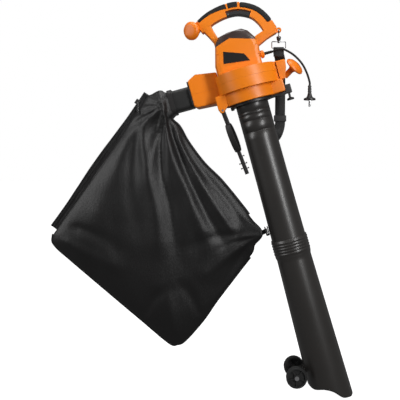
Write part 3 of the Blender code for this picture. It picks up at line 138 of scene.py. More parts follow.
def turnedMesh(name, profile, sides, origin=(0, 0, 0), axes=None):
    # a profile of radius and height turned round an axis
    p = np.asarray(profile, float)
    a = np.linspace(0, 2 * math.pi, sides, endpoint=False)
    ring = np.stack((p[:, :1] * np.cos(a), p[:, :1] * np.sin(a), np.repeat(p[:, 1:2], sides, 1)), -1)
    ex, ey, ez = axes if axes is not None else (toolX, toolY, toolZ)
    at = toWorld(origin) if axes is None else np.asarray(origin, float)
    world = at + ring[..., :1] * ex + ring[..., 1:2] * ey + ring[..., 2:3] * ez
    return gridMesh(name, world, wrapRows=True, wrapCols=True, uvSize=(lengthOf(p), 2 * math.pi * p[:, 0].max()))


def sweptMesh(name, path, section, across, closedPath=False):
    # a closed section of side and lift values carried along a path; across gives the side direction at each point
    path, section = np.asarray(path, float), np.asarray(section, float)
    if closedPath:
        along = np.roll(path, -1, 0) - np.roll(path, 1, 0)
    else:
        along = np.gradient(path, axis=0)
    along /= np.linalg.norm(along, axis=1)[:, None]
    side = np.broadcast_to(np.asarray(across, float), path.shape)
    side = side - (side * along).sum(1)[:, None] * along
    side = side / np.linalg.norm(side, axis=1)[:, None]
    lift = np.cross(along, side)
    points = path[:, None] + section[None, :, :1] * side[:, None] + section[None, :, 1:2] * lift[:, None]
    around = np.linalg.norm(np.diff(section, axis=0, append=section[:1]), axis=1).sum()
    mesh = gridMesh(name, points, wrapRows=closedPath, wrapCols=True, capStart=not closedPath,
                    capEnd=not closedPath, uvSize=(lengthOf(path), around))
    return outward(mesh)


def roundSection(radius, sides=16):
    a = np.linspace(0, 2 * math.pi, sides, endpoint=False)
    return np.stack((np.cos(a), np.sin(a)), 1) * radius


def flatSection(width, thick, corner=None, steps=3):
    # a rectangle with rounded corners
    corner = corner or thick * 0.45
    w, h = width / 2 - corner, thick / 2 - corner
    pts = []
    for cx, cy, start in ((w, h, 0), (-w, h, 90), (-w, -h, 180), (w, -h, 270)):
        a = np.radians(start + np.linspace(0, 90, steps + 1))
        pts.append(np.stack((cx + corner * np.cos(a), cy + corner * np.sin(a)), 1))
    return np.vstack(pts)


class Wire:
    # one socket, with arithmetic that adds Math nodes
    def __init__(self, board, socket):
        self.board, self.socket = board, socket

    def math(self, operation, other):
        return self.board.add("Math", {"operation": operation}, {0: self, 1: other})

    def __add__(self, other):
        return self.math("ADD", other)

    def __radd__(self, other):
        return self.math("ADD", other)

    def __mul__(self, other):
        return self.math("MULTIPLY", other)

    def __rmul__(self, other):
        return self.math("MULTIPLY", other)


class Board:
    # a material's nodes, added by type, settings and socket values
    def __init__(self, name, colour, roughness, metallic=0.0, **fixed):
        self.material = bpy.data.materials.new(name)
        self.material.use_nodes = True
        self.tree = self.material.node_tree
        self.shader = self.tree.nodes["Principled BSDF"]
        self.colour = (*colour, 1.0)
        self.feed("Base Color", self.colour)
        self.feed("Roughness", roughness)
        self.feed("Metallic", metallic)
        for key, value in fixed.items():
            self.feed(key.replace("_", " "), value)  # the same all over, on the shader's own socket
        self.place = self.add("TexCoord", out="Object")

    def feed(self, key, value, node=None):
        socket = (node or self.shader).inputs[key]
        if isinstance(value, Wire):
            self.tree.links.new(value.socket, socket)
        else:
            socket.default_value = value

    def add(self, kind, settings=None, values=None, out=0):
        node = self.tree.nodes.new("ShaderNode" + kind)
        for key, value in (settings or {}).items():
            setattr(node, key, value)
        for key, value in (values or {}).items():
            self.feed(key, value, node)
        return Wire(self, node.outputs[out])

    def noise(self, scale, detail=3.0, roughness=0.5, vector=None, stretch=None):
        vector = vector or self.place
        if stretch:
            vector = self.add("Mapping", None, {"Vector": vector, "Scale": stretch})
        return self.add("TexNoise", None, {"Vector": vector, "Scale": scale, "Detail": detail,
                                           "Roughness": roughness})

    def bands(self, direction, vector, scale):
        return self.add("TexWave", {"wave_type": "BANDS", "bands_direction": direction},
                        {"Vector": vector, "Scale": scale}, out=1)

    def ramp(self, value, low, high):
        return self.add("MapRange", {"clamp": True}, {"Value": value, "From Min": low, "From Max": high})

    def blend(self, factor, one, other):
        return self.add("Mix", {"data_type": "RGBA"}, {0: factor, 6: one, 7: other}, out=2)

    def bump(self, height, strength, distance, normal=None):
        values = {"Height": height, "Strength": strength, "Distance": distance}
        if normal:
            values["Normal"] = normal
        made = self.add("Bump", None, values)
        self.feed("Normal", made)
        return made


def tint(colour, amount):
    return (*[min(1.0, c * amount) for c in colour], 1.0)


def mouldedPlastic(name, colour, gloss=0.38, grain=0.12, mottle=0.12, coat=0.15, wear=0.0):
    # fine spark-eroded grain, a slow change of shade, faint rubbed patches
    b = Board(name, colour, gloss, Coat_Weight=coat, Coat_Roughness=0.35, IOR=1.47)
    slow = b.noise(7.0, 2.0)
    patch = b.ramp(b.noise(38.0, 4.0, 0.6), 0.45, 0.75)
    base = b.blend(slow, tint(colour, 1 - mottle), tint(colour, 1 + mottle))
    b.feed("Base Color", b.blend(patch * wear, base, tint(colour, 1.5)) if wear else base)
    b.feed("Roughness", gloss - 0.05 + slow * 0.10 + patch * 0.05)
    b.bump(b.noise(900.0, 2.0), grain, 0.0002)
    return b.material


def tubePlastic(name, colour):
    # blow-moulded tube: satin, with faint draw lines along its length and tiny scuffs
    b = Board(name, colour, 0.34, Coat_Weight=0.25, Coat_Roughness=0.3, IOR=1.5)
    turned = b.add("Mapping", None, {"Vector": b.place, "Rotation": (0.0, lean, 0.0),
                                     "Scale": (240.0, 240.0, 3.0)})
    draw = b.noise(1.0, 2.0, vector=turned)
    slow = b.noise(9.0, 2.0)
    scuff = b.ramp(b.noise(90.0, 6.0, 0.7), 0.62, 0.72)
    b.feed("Base Color", b.blend(scuff * 0.35, b.blend(slow, tint(colour, 0.85), tint(colour, 1.2)),
                                 tint(colour, 2.2)))
    b.feed("Roughness", 0.30 + draw * 0.07 + slow * 0.06 + scuff * 0.12)
    grain = b.bump(b.noise(1200.0, 2.0), 0.08, 0.0001)
    b.bump(draw, 0.05, 0.0004, grain)
    return b.material


def softRubber(name, colour, roughness=0.72, scale=1400.0):
    # over-moulded grip: matte, stippled
    b = Board(name, colour, roughness, Specular_IOR_Level=0.3)
    dots = b.add("TexVoronoi", None, {"Vector": b.place, "Scale": scale / 2})
    slow = b.noise(14.0, 3.0)
    b.feed("Base Color", b.blend(slow, tint(colour, 0.75), tint(colour, 1.3)))
    b.feed("Roughness", roughness - 0.06 + slow * 0.12)
    b.bump(dots, 0.25, 0.0003)
    return b.material


def steel(name, colour, roughness, stretch=(30.0, 30.0, 900.0)):
    b = Board(name, colour, roughness, 1.0)
    line = b.noise(1.0, 3.0, stretch=stretch)
    slow = b.noise(25.0, 3.0)
    b.feed("Base Color", b.blend(slow, tint(colour, 0.82), tint(colour, 1.12)))
    b.feed("Roughness", roughness - 0.05 + line * 0.10 + slow * 0.05)
    b.bump(line, 0.06, 0.0001)
    return b.material


def laminated(name, colour):
    # stacked sheets across the shaft
    b = Board(name, colour, 0.45, 1.0)
    turned = b.add("Mapping", None, {"Vector": b.place, "Rotation": (0.0, lean, 0.0)})
    sheets = b.bands("Z", turned, 320.0)
    b.feed("Base Color", b.blend(sheets, tint(colour, 0.55), tint(colour, 1.2)))
    b.feed("Roughness", 0.38 + sheets * 0.15)
    b.bump(sheets, 0.4, 0.0002)
    return b.material


def woundCopper(name, colour):
    b = Board(name, colour, 0.35, 0.9)
    wires = b.add("TexWave", {"wave_type": "RINGS", "rings_direction": "SPHERICAL"},
                  {"Vector": b.place, "Scale": 260.0, "Distortion": 2.0}, out=1)
    b.feed("Base Color", b.blend(wires, tint(colour, 0.45), tint(colour, 1.15)))
    b.feed("Roughness", 0.30 + wires * 0.20)
    b.bump(wires, 0.5, 0.0004)
    return b.material


def speckled(name, colour, other, roughness, scale=220.0, metallic=0.0):
    # carbon, board or printed face: small flecks of a second shade
    b = Board(name, colour, roughness, metallic)
    fleck = b.ramp(b.noise(scale, 5.0, 0.7), 0.5, 0.62)
    b.feed("Base Color", b.blend(fleck, (*colour, 1.0), (*other, 1.0)))
    b.feed("Roughness", roughness - 0.04 + fleck * 0.12)
    b.bump(fleck, 0.15, 0.0002)
    return b.material


def bagNylon(name, colour):
    # thin coated nylon: plain weave with a slightly bolder thread every few millimetres, and a soft sheen
    b = Board(name, colour, 0.5, Sheen_Weight=0.03, Sheen_Roughness=0.35, Specular_IOR_Level=0.42)
    b.feed("Sheen Tint", (0.75, 0.75, 0.78, 1.0))
    warp, weft = b.bands("X", b.place, 330.0), b.bands("Z", b.place, 330.0)
    weave = warp.math("MAXIMUM", weft)
    slow = b.noise(5.0, 3.0)
    crease = b.noise(28.0, 5.0, 0.6, stretch=(1.0, 1.0, 0.4))
    b.feed("Base Color", b.blend(slow * 0.8 + weave * 0.2, tint(colour, 0.75), tint(colour, 1.45)))
    b.feed("Roughness", 0.36 + slow * 0.10 + weave * 0.06)
    fine = b.bump(weave, 0.25, 0.0003)
    b.bump(crease, 0.28, 0.006, fine)
    return b.material


def webbing(name, colour):
    # woven strap: chevron ribs from the strap's own length and width
    b = Board(name, colour, 0.62, Sheen_Weight=0.12, Sheen_Roughness=0.4, Specular_IOR_Level=0.3)
    uv = b.add("TexCoord", out="UV")
    rib, yarn = b.bands("X", uv, 180.0), b.bands("DIAGONAL", uv, 150.0)
    slow = b.noise(40.0, 3.0)
    weave = rib * 0.6 + yarn * 0.4
    b.feed("Base Color", b.blend(weave, tint(colour, 0.55), tint(colour, 1.7)))
    b.feed("Roughness", 0.52 + slow * 0.14)
    b.bump(weave, 0.6, 0.0006)
    return b.material


orange, tubeGrey = (0.80, 0.200, 0.0015), (0.020, 0.018, 0.0165)
looks = {
    "shellOrange": mouldedPlastic("shellOrange", orange, 0.40, 0.10, 0.07, 0.0),
    "knobOrange": mouldedPlastic("knobOrange", (0.78, 0.175, 0.0015), 0.40, 0.08, 0.06, 0.0),
    "shellBlack": mouldedPlastic("shellBlack", (0.014, 0.013, 0.013), 0.42, 0.18, 0.15, 0.1, wear=0.15),
    "ductBlack": mouldedPlastic("ductBlack", (0.013, 0.013, 0.013), 0.46, 0.20, 0.15, 0.05, wear=0.2),
    "coverBlack": mouldedPlastic("coverBlack", (0.036, 0.020, 0.017), 0.30, 0.10, 0.15, 0.3),
    "wheelBlack": mouldedPlastic("wheelBlack", (0.013, 0.013, 0.013), 0.52, 0.25, 0.2, 0.0, wear=0.3),
    "impellerGrey": mouldedPlastic("impellerGrey", (0.055, 0.053, 0.05), 0.48, 0.2, 0.12, 0.0, wear=0.3),
    "tubeGrey": tubePlastic("tubeGrey", tubeGrey),
    "gripRubber": softRubber("gripRubber", (0.011, 0.0105, 0.0105)),
    "leadRubber": softRubber("leadRubber", (0.009, 0.009, 0.009), 0.5, 2200.0),
    "bandRubber": softRubber("bandRubber", (0.014, 0.013, 0.013), 0.5, 1800.0),
    "nylon": bagNylon("nylon", (0.0052, 0.0049, 0.0050)),
    "nylonHem": bagNylon("nylonHem", (0.0045, 0.0042, 0.0044)),
    "webbing": webbing("webbing", (0.014, 0.014, 0.014)),
    "steel": steel("steel", (0.62, 0.62, 0.63), 0.28),
    "bladeSteel": steel("bladeSteel", (0.5, 0.5, 0.5), 0.36, (400.0, 30.0, 30.0)),
    "ringSteel": steel("ringSteel", (0.30, 0.30, 0.31), 0.22),
    "blackSteel": steel("blackSteel", (0.09, 0.09, 0.09), 0.34),
    "castAlloy": speckled("castAlloy", (0.42, 0.42, 0.43), (0.52, 0.52, 0.53), 0.5, 400.0, 1.0),
    "laminated": laminated("laminated", (0.32, 0.32, 0.33)),
    "copper": woundCopper("copper", (0.72, 0.30, 0.13)),
    "brass": steel("brass", (0.72, 0.50, 0.16), 0.3),
    "carbon": speckled("carbon", (0.03, 0.03, 0.03), (0.06, 0.06, 0.06), 0.6),
    "board": speckled("board", (0.01, 0.11, 0.04), (0.02, 0.17, 0.07), 0.45, 120.0),
    "badge": mouldedPlastic("badge", (0.006, 0.006, 0.006), 0.22, 0.03, 0.2, 0.5),
    "zipMetal": steel("zipMetal", (0.12, 0.12, 0.12), 0.35),
}
nodeLooks = {
    "shellOrange": "housing_near housing_far volute_upper volute_lower cord_gland switch_plunger",
    "knobOrange": "front_knob speed_dial",
    "coverBlack": "motor_cover",
    "shellBlack": "trigger switch_module lock_screw tube_mount neck_band bag_hook strap_buckle plug_body"
                  " brush_bracket",
    "ductBlack": "bag_adapter",
    "wheelBlack": "wheel_near wheel_far",
    "impellerGrey": "impeller cooling_fan",
    "tubeGrey": "upper_tube lower_tube",
    "gripRubber": "grip_rear grip_middle grip_front",
    "leadRubber": "mains_cord strain_relief",
    "bandRubber": "tether",
    "nylon": "collecting_bag",
    "webbing": "shoulder_strap",
    "steel": "rotor_shaft bearing_lower bearing_upper trigger_pin tether_pin housing_screw_rear"
             " housing_screw_front wheel_axle impeller_nut snap_gate plug_pin_near plug_pin_far",
    "ringSteel": "strap_ring",
    "bladeSteel": "shredder_blade",
    "blackSteel": "snap_hook",
    "zipMetal": "zip_slider",
    "castAlloy": "motor_plate",
    "laminated": "stator_core armature",
    "copper": "field_coil_lower field_coil_upper commutator",
    "brass": "lock_nut",
    "carbon": "brush_near brush_far",
    "board": "speed_control",
    "badge": "badge_plate",
}


seamless = {"weld": 0.00001, "edge": 38.0}  # metres between doubles, degrees between faces of a true edge


def softened(obj):
    # smooth shading over the small roundings, with true edges kept
    obj.data.polygons.foreach_set("use_smooth", np.full(len(obj.data.polygons), True))
    weld = obj.modifiers.new("weld", "WELD")
    weld.merge_threshold = seamless["weld"]
    split = obj.modifiers.new("edges", "EDGE_SPLIT")
    split.split_angle = math.radians(seamless["edge"])
    obj.modifiers.new("shade", "WEIGHTED_NORMAL").keep_sharp = True


for look, names in nodeLooks.items():
    for name in names.split():
        nodes[name].data.materials.clear()
        nodes[name].data.materials.append(looks[look])
        softened(nodes[name])
print("finishes:", len(looks), "on", sum(len(v.split()) for v in nodeLooks.values()), "nodes")

tubes = {"radius": 0.050, "wall": 0.0025, "flare": 0.003, "top": -0.0683, "upper": 0.478, "socket": 0.050,
         "mouth": 0.063, "sides": 96, "rings": (0.030, 0.040, 0.058, 0.092), "ribs": 5}


def ringStep(z, r, deep=0.0008, width=0.0016):
    # one shallow moulded groove at this height
    k = np.linspace(0, 1, 7)
    return [(r - deep * math.sin(math.pi * t), z - width * (t - 0.5)) for t in k]


def upperTubeProfile():
    r, low = tubes["radius"], tubes["top"] - tubes["upper"]
    wide = r + tubes["flare"]
    outer = [(r - 0.0008, tubes["top"] - 0.0003), (r, tubes["top"] - 0.0015)]
    for depth in tubes["rings"]:
        outer += ringStep(tubes["top"] - depth, r + 0.0001)
    t = np.linspace(0, 1, 24)[1:]
    outer += [(r + tubes["flare"] * k**2, tubes["top"] - 0.10 - (tubes["upper"] - 0.12) * k) for k in t]
    outer += [(wide, low + 0.010), (wide, low + 0.0006), (wide - 0.0006, low)]
    inner = [(wide - tubes["wall"], low + 0.0003), (wide - tubes["wall"], low + 0.02),
             (r - tubes["wall"], tubes["top"] - 0.10), (r - tubes["wall"], tubes["top"] - 0.0003)]
    return outer + inner


upperTube = outward(turnedMesh("upper_suction_tube", upperTubeProfile(), tubes["sides"]))
link("upper_suction_tube", upperTube, looks["tubeGrey"], node="upper_tube")


def lipHeight(x):
    # the mouth's slanted, waved edge: how low it reaches at this distance across
    knots = np.array([(-0.078, -0.925), (-0.066, -0.938), (-0.050, -0.951), (-0.021, -0.953), (0.004, -0.965),
                      (0.026, -0.989), (0.044, -0.998), (0.060, -1.002), (0.078, -0.990)])
    run = splineThrough(knots, 200)
    return np.interp(x, run[:, 0], run[:, 1])


def lowerTubeMesh():
    r, low = tubes["radius"], tubes["top"] - tubes["upper"]
    wall, inner = tubes["wall"], tubes["radius"] + tubes["flare"] + 0.0003
    rim = low + tubes["socket"]
    profile = [(inner + 0.0010, rim), (inner + 0.0022, rim - 0.0008)]
    for k in range(tubes["ribs"]):
        z = rim - 0.006 - 0.0085 * k
        profile += [(inner + 0.0022 + 0.0014 * math.sin(math.pi * t), z - 0.0042 * t)
                    for t in np.linspace(0, 1, 6)]
    step = low - 0.0043
    profile += [(inner + 0.0020, step + 0.002), (inner + 0.0014, step - 0.001), (r + 0.0030, step - 0.008)]
    p = np.array(profile)
    a = np.linspace(0, 2 * math.pi, tubes["sides"], endpoint=False)
    ring = np.stack((p[:, :1] * np.cos(a), p[:, :1] * np.sin(a), np.repeat(p[:, 1:2], len(a), 1)), -1)
    t = np.linspace(0, 1, 60)[1:, None]
    flare = tubes["mouth"] - r - 0.0030

    def skin(offset, start, shares):
        # rows from a height down to the lip, widening to the mouth
        lip = lipHeight((tubes["mouth"] + offset) * np.cos(a))[None]
        z = start + (lip - start) * shares
        wide = r + 0.0030 + flare * ((step - 0.008 - z) / (step - 0.008 + 1.0)) + offset
        return np.stack((wide * np.cos(a), wide * np.sin(a), z), -1)

    outside = skin(0.0, step - 0.008, t)
    edge = skin(-wall / 2, step - 0.008, np.array([[1.0012]]))
    inside = skin(-wall, step - 0.008, t[::-1])
    q = np.array([(r + 0.0030 - wall, step - 0.008), (inner - wall, low - 0.0008), (inner, low - 0.0003),
                  (inner, rim)])
    back = np.stack((q[:, :1] * np.cos(a), q[:, :1] * np.sin(a), np.repeat(q[:, 1:2], len(a), 1)), -1)
    local = np.concatenate((ring, outside, edge, inside, back))
    return outward(gridMesh("lower_suction_tube", toWorld(local), wrapRows=True, wrapCols=True))


link("lower_suction_tube", lowerTubeMesh(), looks["tubeGrey"], node="lower_tube")

axle = {"at": (-0.0895, 0.0, -0.898), "sleeve": 0.0085, "half": 0.039, "bore": 0.0043, "bevel": 0.001,
        "plates": (-0.018, -0.006, 0.006, 0.018), "plate": (0.013, 0.0026)}


def axleCarrier():
    # the axle's sleeve, and the plates that carry it
    x, _, z = axle["at"]
    wide, half, bevel = axle["sleeve"], axle["half"], axle["bevel"]
    tube = [(axle["bore"], -half), (wide - bevel, -half), (wide, -half + bevel), (wide, half - bevel),
            (wide - bevel, half), (axle["bore"], half)]
    sleeve = turnedMesh("sleeve", tube, 48, toWorld((x, 0, z)), (toolX, toolZ, toolY))
    parts = [outward(sleeve)]
    for y in axle["plates"]:
        run = toWorld(np.array([(x + 0.0075, y, z), (x + 0.020, y, z + 0.001), (x + 0.033, y, z + 0.003)]))
        parts.append(sweptMesh("plate", splineThrough(run, 9), flatSection(*axle["plate"]), toolZ))
    return joined("axle_carrier", parts)


link("axle_carrier", axleCarrier(), looks["tubeGrey"], node="lower_tube")
print("tubes made")

lead = {"start": (0.1013, -0.007, 0.0605), "radius": 0.0033, "plug": (0.2115, -0.008), "plugTop": -0.2330,
        "knots": [(0.1080, -0.0095, -0.1258), (0.1250, -0.0100, -0.1225), (0.1400, -0.0100, -0.1265),
                  (0.1650, -0.0090, -0.1420), (0.1880, -0.0085, -0.1665), (0.2030, -0.0082, -0.1950)]}
leadStart = toWorld(lead["start"])
leadEnd = np.array([(*lead["plug"], lead["plugTop"] + 0.010), (*lead["plug"], lead["plugTop"] + 0.0003)])
leadRun = splineThrough(np.vstack((leadStart, leadStart + toolX * 0.004, lead["knots"], leadEnd)), 90)
leadMesh = sweptMesh("mains_lead", leadRun, roundSection(lead["radius"], 20), toolY)
leadCable = link("mains_lead", leadMesh, looks["leadRubber"], node="mains_cord")
print("lead:", round(lengthOf(leadRun), 3), "m")

bag = {"corners": [(-0.237, -0.2475), (-0.275, -0.256), (-0.298, -0.278), (-0.410, -0.447), (-0.560, -0.660),
                   (-0.583, -0.700), (-0.575, -0.727), (-0.526, -0.771), (-0.380, -0.895), (-0.305, -0.958),
                   (-0.221, -1.028), (-0.195, -1.033), (-0.170, -1.020), (-0.115, -0.958), (-0.071, -0.895),
                   (0.000, -0.802), (0.040, -0.748), (0.046, -0.724), (0.061, -0.706), (0.071, -0.688),
                   (0.064, -0.668), (0.041, -0.646), (0.008, -0.603), (-0.056, -0.525),
                   (-0.112, -0.469), (-0.160, -0.405), (-0.188, -0.356), (-0.216, -0.325)],
       "middle": (-0.27, -0.66), "y": 0.042, "half": 0.038, "edge": 0.004, "around": 420, "across": 70,
       "voxel": 0.0034, "softening": (0.5, 5), "cornerY": -0.034, "swell": (0.022, 0.052),
       "neck": ((-0.232, -0.292), 15, 0.0050, 0.15), "corner": ((0.072, -0.688), 11, 0.0038, 0.10)}
# each fold: points across the cloth, half width and height at its two ends; a negative height is a valley
folds = [
    ([(-0.266, -0.30), (-0.299, -0.37), (-0.282, -0.50), (-0.258, -0.62), (-0.236, -0.80)], (0.013, 0.030),
     (0.013, 0.006)),
    ([(-0.285, -0.32), (-0.325, -0.42), (-0.330, -0.56), (-0.318, -0.72)], (0.016, 0.036), (-0.009, -0.004)),
    ([(-0.300, -0.31), (-0.372, -0.45), (-0.420, -0.58), (-0.430, -0.70)], (0.018, 0.040), (0.008, 0.004)),
    ([(-0.248, -0.31), (-0.247, -0.45), (-0.212, -0.62), (-0.176, -0.82)], (0.010, 0.026), (-0.012, -0.006)),
    ([(-0.232, -0.31), (-0.203, -0.45), (-0.145, -0.60), (-0.080, -0.76)], (0.010, 0.022), (0.012, 0.006)),
    ([(-0.222, -0.33), (-0.183, -0.455), (-0.112, -0.61), (-0.040, -0.73)], (0.008, 0.015), (-0.011, -0.007)),
    ([(-0.210, -0.34), (-0.163, -0.45), (-0.085, -0.585), (-0.005, -0.70)], (0.008, 0.014), (0.010, 0.009)),
    ([(-0.196, -0.36), (-0.140, -0.463), (-0.060, -0.560), (0.015, -0.66)], (0.007, 0.011), (-0.008, -0.009)),
    ([(0.030, -0.71), (-0.040, -0.76), (-0.130, -0.83)], (0.009, 0.024), (0.011, 0.004)),
    ([(0.030, -0.72), (-0.020, -0.80), (-0.080, -0.88)], (0.009, 0.022), (-0.009, -0.004)),
    ([(0.020, -0.69), (-0.080, -0.70), (-0.190, -0.74)], (0.009, 0.026), (-0.008, -0.003)),
    ([(-0.56, -0.70), (-0.45, -0.76), (-0.33, -0.80)], (0.014, 0.030), (0.008, 0.004)),
    ([(-0.53, -0.66), (-0.42, -0.70), (-0.34, -0.76)], (0.012, 0.028), (-0.007, -0.003)),
    ([(-0.20, -1.01), (-0.215, -0.92), (-0.235, -0.82)], (0.014, 0.030), (0.008, 0.005)),
    ([(-0.30, -0.95), (-0.26, -0.88), (-0.20, -0.84)], (0.011, 0.020), (-0.006, -0.004)),
    ([(-0.12, -0.95), (-0.15, -0.88), (-0.19, -0.83)], (0.011, 0.020), (-0.006, -0.003)),
]


def foldHeight(x, z, each):
    # how far one fold lifts the cloth: a bell across the fold's line, growing wide and low along it
    points, widths, heights = each
    line = splineThrough(np.array(points), 40)
    d = np.hypot(x[..., None] - line[:, 0], z[..., None] - line[:, 1])
    k = d.argmin(-1)
    t = k / (len(line) - 1)
    width = widths[0] + (widths[1] - widths[0]) * t
    height = heights[0] + (heights[1] - heights[0]) * t
    ends = np.clip(t * 8, 0, 1) * np.clip((1 - t) * 5 + 0.15, 0, 1)
    return height * ends * np.exp(-((d.min(-1) / width) ** 2))


def ripple(x, z, seed, count, size, height):
    # small uneven waves: a sum of sines in drawn directions
    draw = np.random.default_rng(seed)
    total = np.zeros_like(x)
    for angle, phase, scale in zip(draw.uniform(0, math.pi, count), draw.uniform(0, 6.28, count),
                                   draw.uniform(0.7, 1.6, count)):
        total += np.sin((x * math.cos(angle) + z * math.sin(angle)) * 6.28 / (size * scale) + phase)
    return total * height / math.sqrt(count)


def pleatsFrom(x, z, at, count, height, reach):
    # pleats that fan out of one gathered point and die away, and the swell of cloth round that point
    dx, dz = x - at[0], z - at[1]
    far, turn = np.hypot(dx, dz), np.arctan2(dx, -dz)
    pleats = np.sin(turn * count + 1.6 * np.sin(turn * 5)) * height * np.exp(-((far - 0.03) / reach) ** 2)
    return pleats, bag["swell"][0] * np.exp(-((far / bag["swell"][1]) ** 2))


def rimY(x, z):
    # the cloth's middle plane, drawn forward to the tube's hook at its right corner
    near = np.clip((x + 0.01) / 0.075, 0, 1) ** 1.6 * np.exp(-(((z + 0.69) / 0.075) ** 2))
    return bag["y"] + bag["cornerY"] * near


def bagSkin():
    # the outline drawn in to the middle on both faces, crowned, with folds on each face
    rim = splineThrough(np.array(bag["corners"]), bag["around"], closed=True)
    middle = np.array(bag["middle"])
    share = np.sin(np.linspace(0, math.pi / 2, bag["across"]))  # closer rows near the rim
    flat = middle + (rim[None] - middle) * share[:, None, None]
    x, z = flat[..., 0], flat[..., 1]
    crown = bag["edge"] + (bag["half"] - bag["edge"]) * (1 - share[:, None] ** 3.2) ** 0.75
    fade = 1 - share[:, None] ** 6 * 0.85
    front = sum(foldHeight(x, z, each) for each in folds) * fade
    back = sum(foldHeight(-x - 0.50, z, each) for each in folds[:4]) * 0.7 * fade
    gather, bulge = pleatsFrom(x, z, *bag["neck"])
    corner, _ = pleatsFrom(x, z, *bag["corner"])
    front = crown + front + (gather + corner) * (0.25 + 0.75 * fade) + ripple(x, z, 11, 9, 0.085, 0.0012) * fade
    back = crown + back - (gather + corner) * fade + ripple(x, z, 12, 9, 0.095, 0.0014) * fade
    middleY = rimY(x, z)
    near = np.stack((x, middleY - front - bulge, z), -1)
    far = np.stack((x, middleY + back + bulge, z), -1)
    shell = np.concatenate((near, far[::-1]))
    return gridMesh("skin", shell, wrapCols=True)


neck = {"end": -0.250, "low": (0.021, -0.038), "high": (0.093, 0.030), "farLow": (0.020, -0.086),
        "farHigh": (0.064, 0.004), "cloth": 0.0030, "length": 0.088, "pleats": 14}


def roundedBox(low, high, corner, count):
    # a rounded rectangle in y and z, by angle
    a = np.linspace(0, 2 * math.pi, count, endpoint=False)
    mid, half = (np.array(low) + high) / 2, (np.array(high) - low) / 2
    power = 2.0 / corner
    c, s = np.cos(a), np.sin(a)
    return mid + np.stack((np.sign(c) * abs(c) ** power * half[0], np.sign(s) * abs(s) ** power * half[1]), 1), a


def neckSleeve():
    # cloth gathered on the duct piece: pleats that grow away from its band
    rows = []
    for t in np.linspace(0, 1, 40):
        grow = neck["cloth"] + 0.003 * math.sin(math.pi * min(t * 2.2, 1)) ** 2
        low = np.array(neck["low"]) * (1 - t) + np.array(neck["farLow"]) * t - grow
        high = np.array(neck["high"]) * (1 - t) + np.array(neck["farHigh"]) * t + grow
        ring, a = roundedBox(low, high, 5.0 - 2.4 * t, 160)
        mid = (low + high) / 2
        pleat = np.sin(a * neck["pleats"] + 2.0 * t) * 0.6 + np.sin(a * (neck["pleats"] - 5) + 1.0 + 3 * t) * 0.4
        swell = 1 + pleat * 0.085 * min(1.0, max(0.0, (t - 0.16) * 3))
        ring = mid + (ring - mid) * swell[:, None]
        x = neck["end"] + 0.018 - (neck["length"] + 0.018) * t
        rows.append(np.column_stack((np.full(len(ring), x), ring)))
    return gridMesh("sleeve", toWorld(np.array(rows)), wrapCols=True, capStart=True, capEnd=True)


def clothUnion(name, parts):
    # several closed forms as one skin, with the joins softened
    rough = link(name + "_rough", joined(name, parts, apart=1e-7), None, None)
    remesh = rough.modifiers.new("skin", "REMESH")
    remesh.mode, remesh.voxel_size, remesh.adaptivity = "VOXEL", bag["voxel"], 0.0
    smooth = rough.modifiers.new("soft", "SMOOTH")
    smooth.factor, smooth.iterations = bag["softening"]
    bpy.context.view_layer.update()
    made = bpy.data.meshes.new_from_object(rough.evaluated_get(bpy.context.evaluated_depsgraph_get()))
    bpy.data.objects.remove(rough)
    made.name = name
    return made


bagMesh = clothUnion("collecting_bag_cloth", [outward(bagSkin()), outward(neckSleeve())])
link("collecting_bag_cloth", bagMesh, looks["nylon"], node="collecting_bag")
print("bag:", len(bagMesh.polygons), "faces")


def runAlong(first, last, outwards):
    # the rim from share first to share last of its length, with its outward direction at each point
    rim = splineThrough(np.array(bag["corners"]), 600, closed=True)
    run = rim[int(first * 600):int(last * 600)]
    along = np.gradient(run, axis=0)
    along /= np.linalg.norm(along, axis=1)[:, None]
    out = np.column_stack((along[:, 1], -along[:, 0]))
    if (out[len(out) // 2] * (run[len(run) // 2] - bag["middle"])).sum() < 0:
        out = -out
    run = run + out * outwards
    return (np.column_stack((run[:, 0], rimY(run[:, 0], run[:, 1]), run[:, 1])),
            np.column_stack((out[:, 0], np.zeros(len(out)), out[:, 1])))


hem = {"width": 0.0085, "thick": 0.0030, "outwards": 0.0002, "wave": 0.0004, "pace": 0.55,
       "runs": (("bag_hem_lower", 0.275, 0.700), ("bag_hem_upper", 0.775, 0.975))}
for name, first, last in hem["runs"]:
    path, across = runAlong(first, last, hem["outwards"])
    path[:, 1] += hem["wave"] * np.sin(np.arange(len(path)) * hem["pace"])
    hemMesh = sweptMesh(name, path, flatSection(hem["width"], hem["thick"]), across)
    link(name, hemMesh, looks["nylonHem"], node="collecting_bag")

corner = {"hook": (-0.05815, 0.0, -0.462), "width": 0.014, "thick": 0.0022}  # the tab round the tube's hook
hookX, _, hookZ = toWorld(corner["hook"])
loopKnots = [(0.0500, 0.0180, -0.6865), (0.0630, 0.0150, -0.6850), (hookX - 0.0027, 0.0130, hookZ - 0.0012),
             (hookX, 0.0085, hookZ), (hookX, 0.0000, hookZ), (hookX, -0.0095, hookZ)]
loopSection = flatSection(corner["width"], corner["thick"])
loopMesh = sweptMesh("corner_loop", splineThrough(loopKnots, 40), loopSection, toolZ)
link("corner_loop", loopMesh, looks["webbing"], node="collecting_bag")

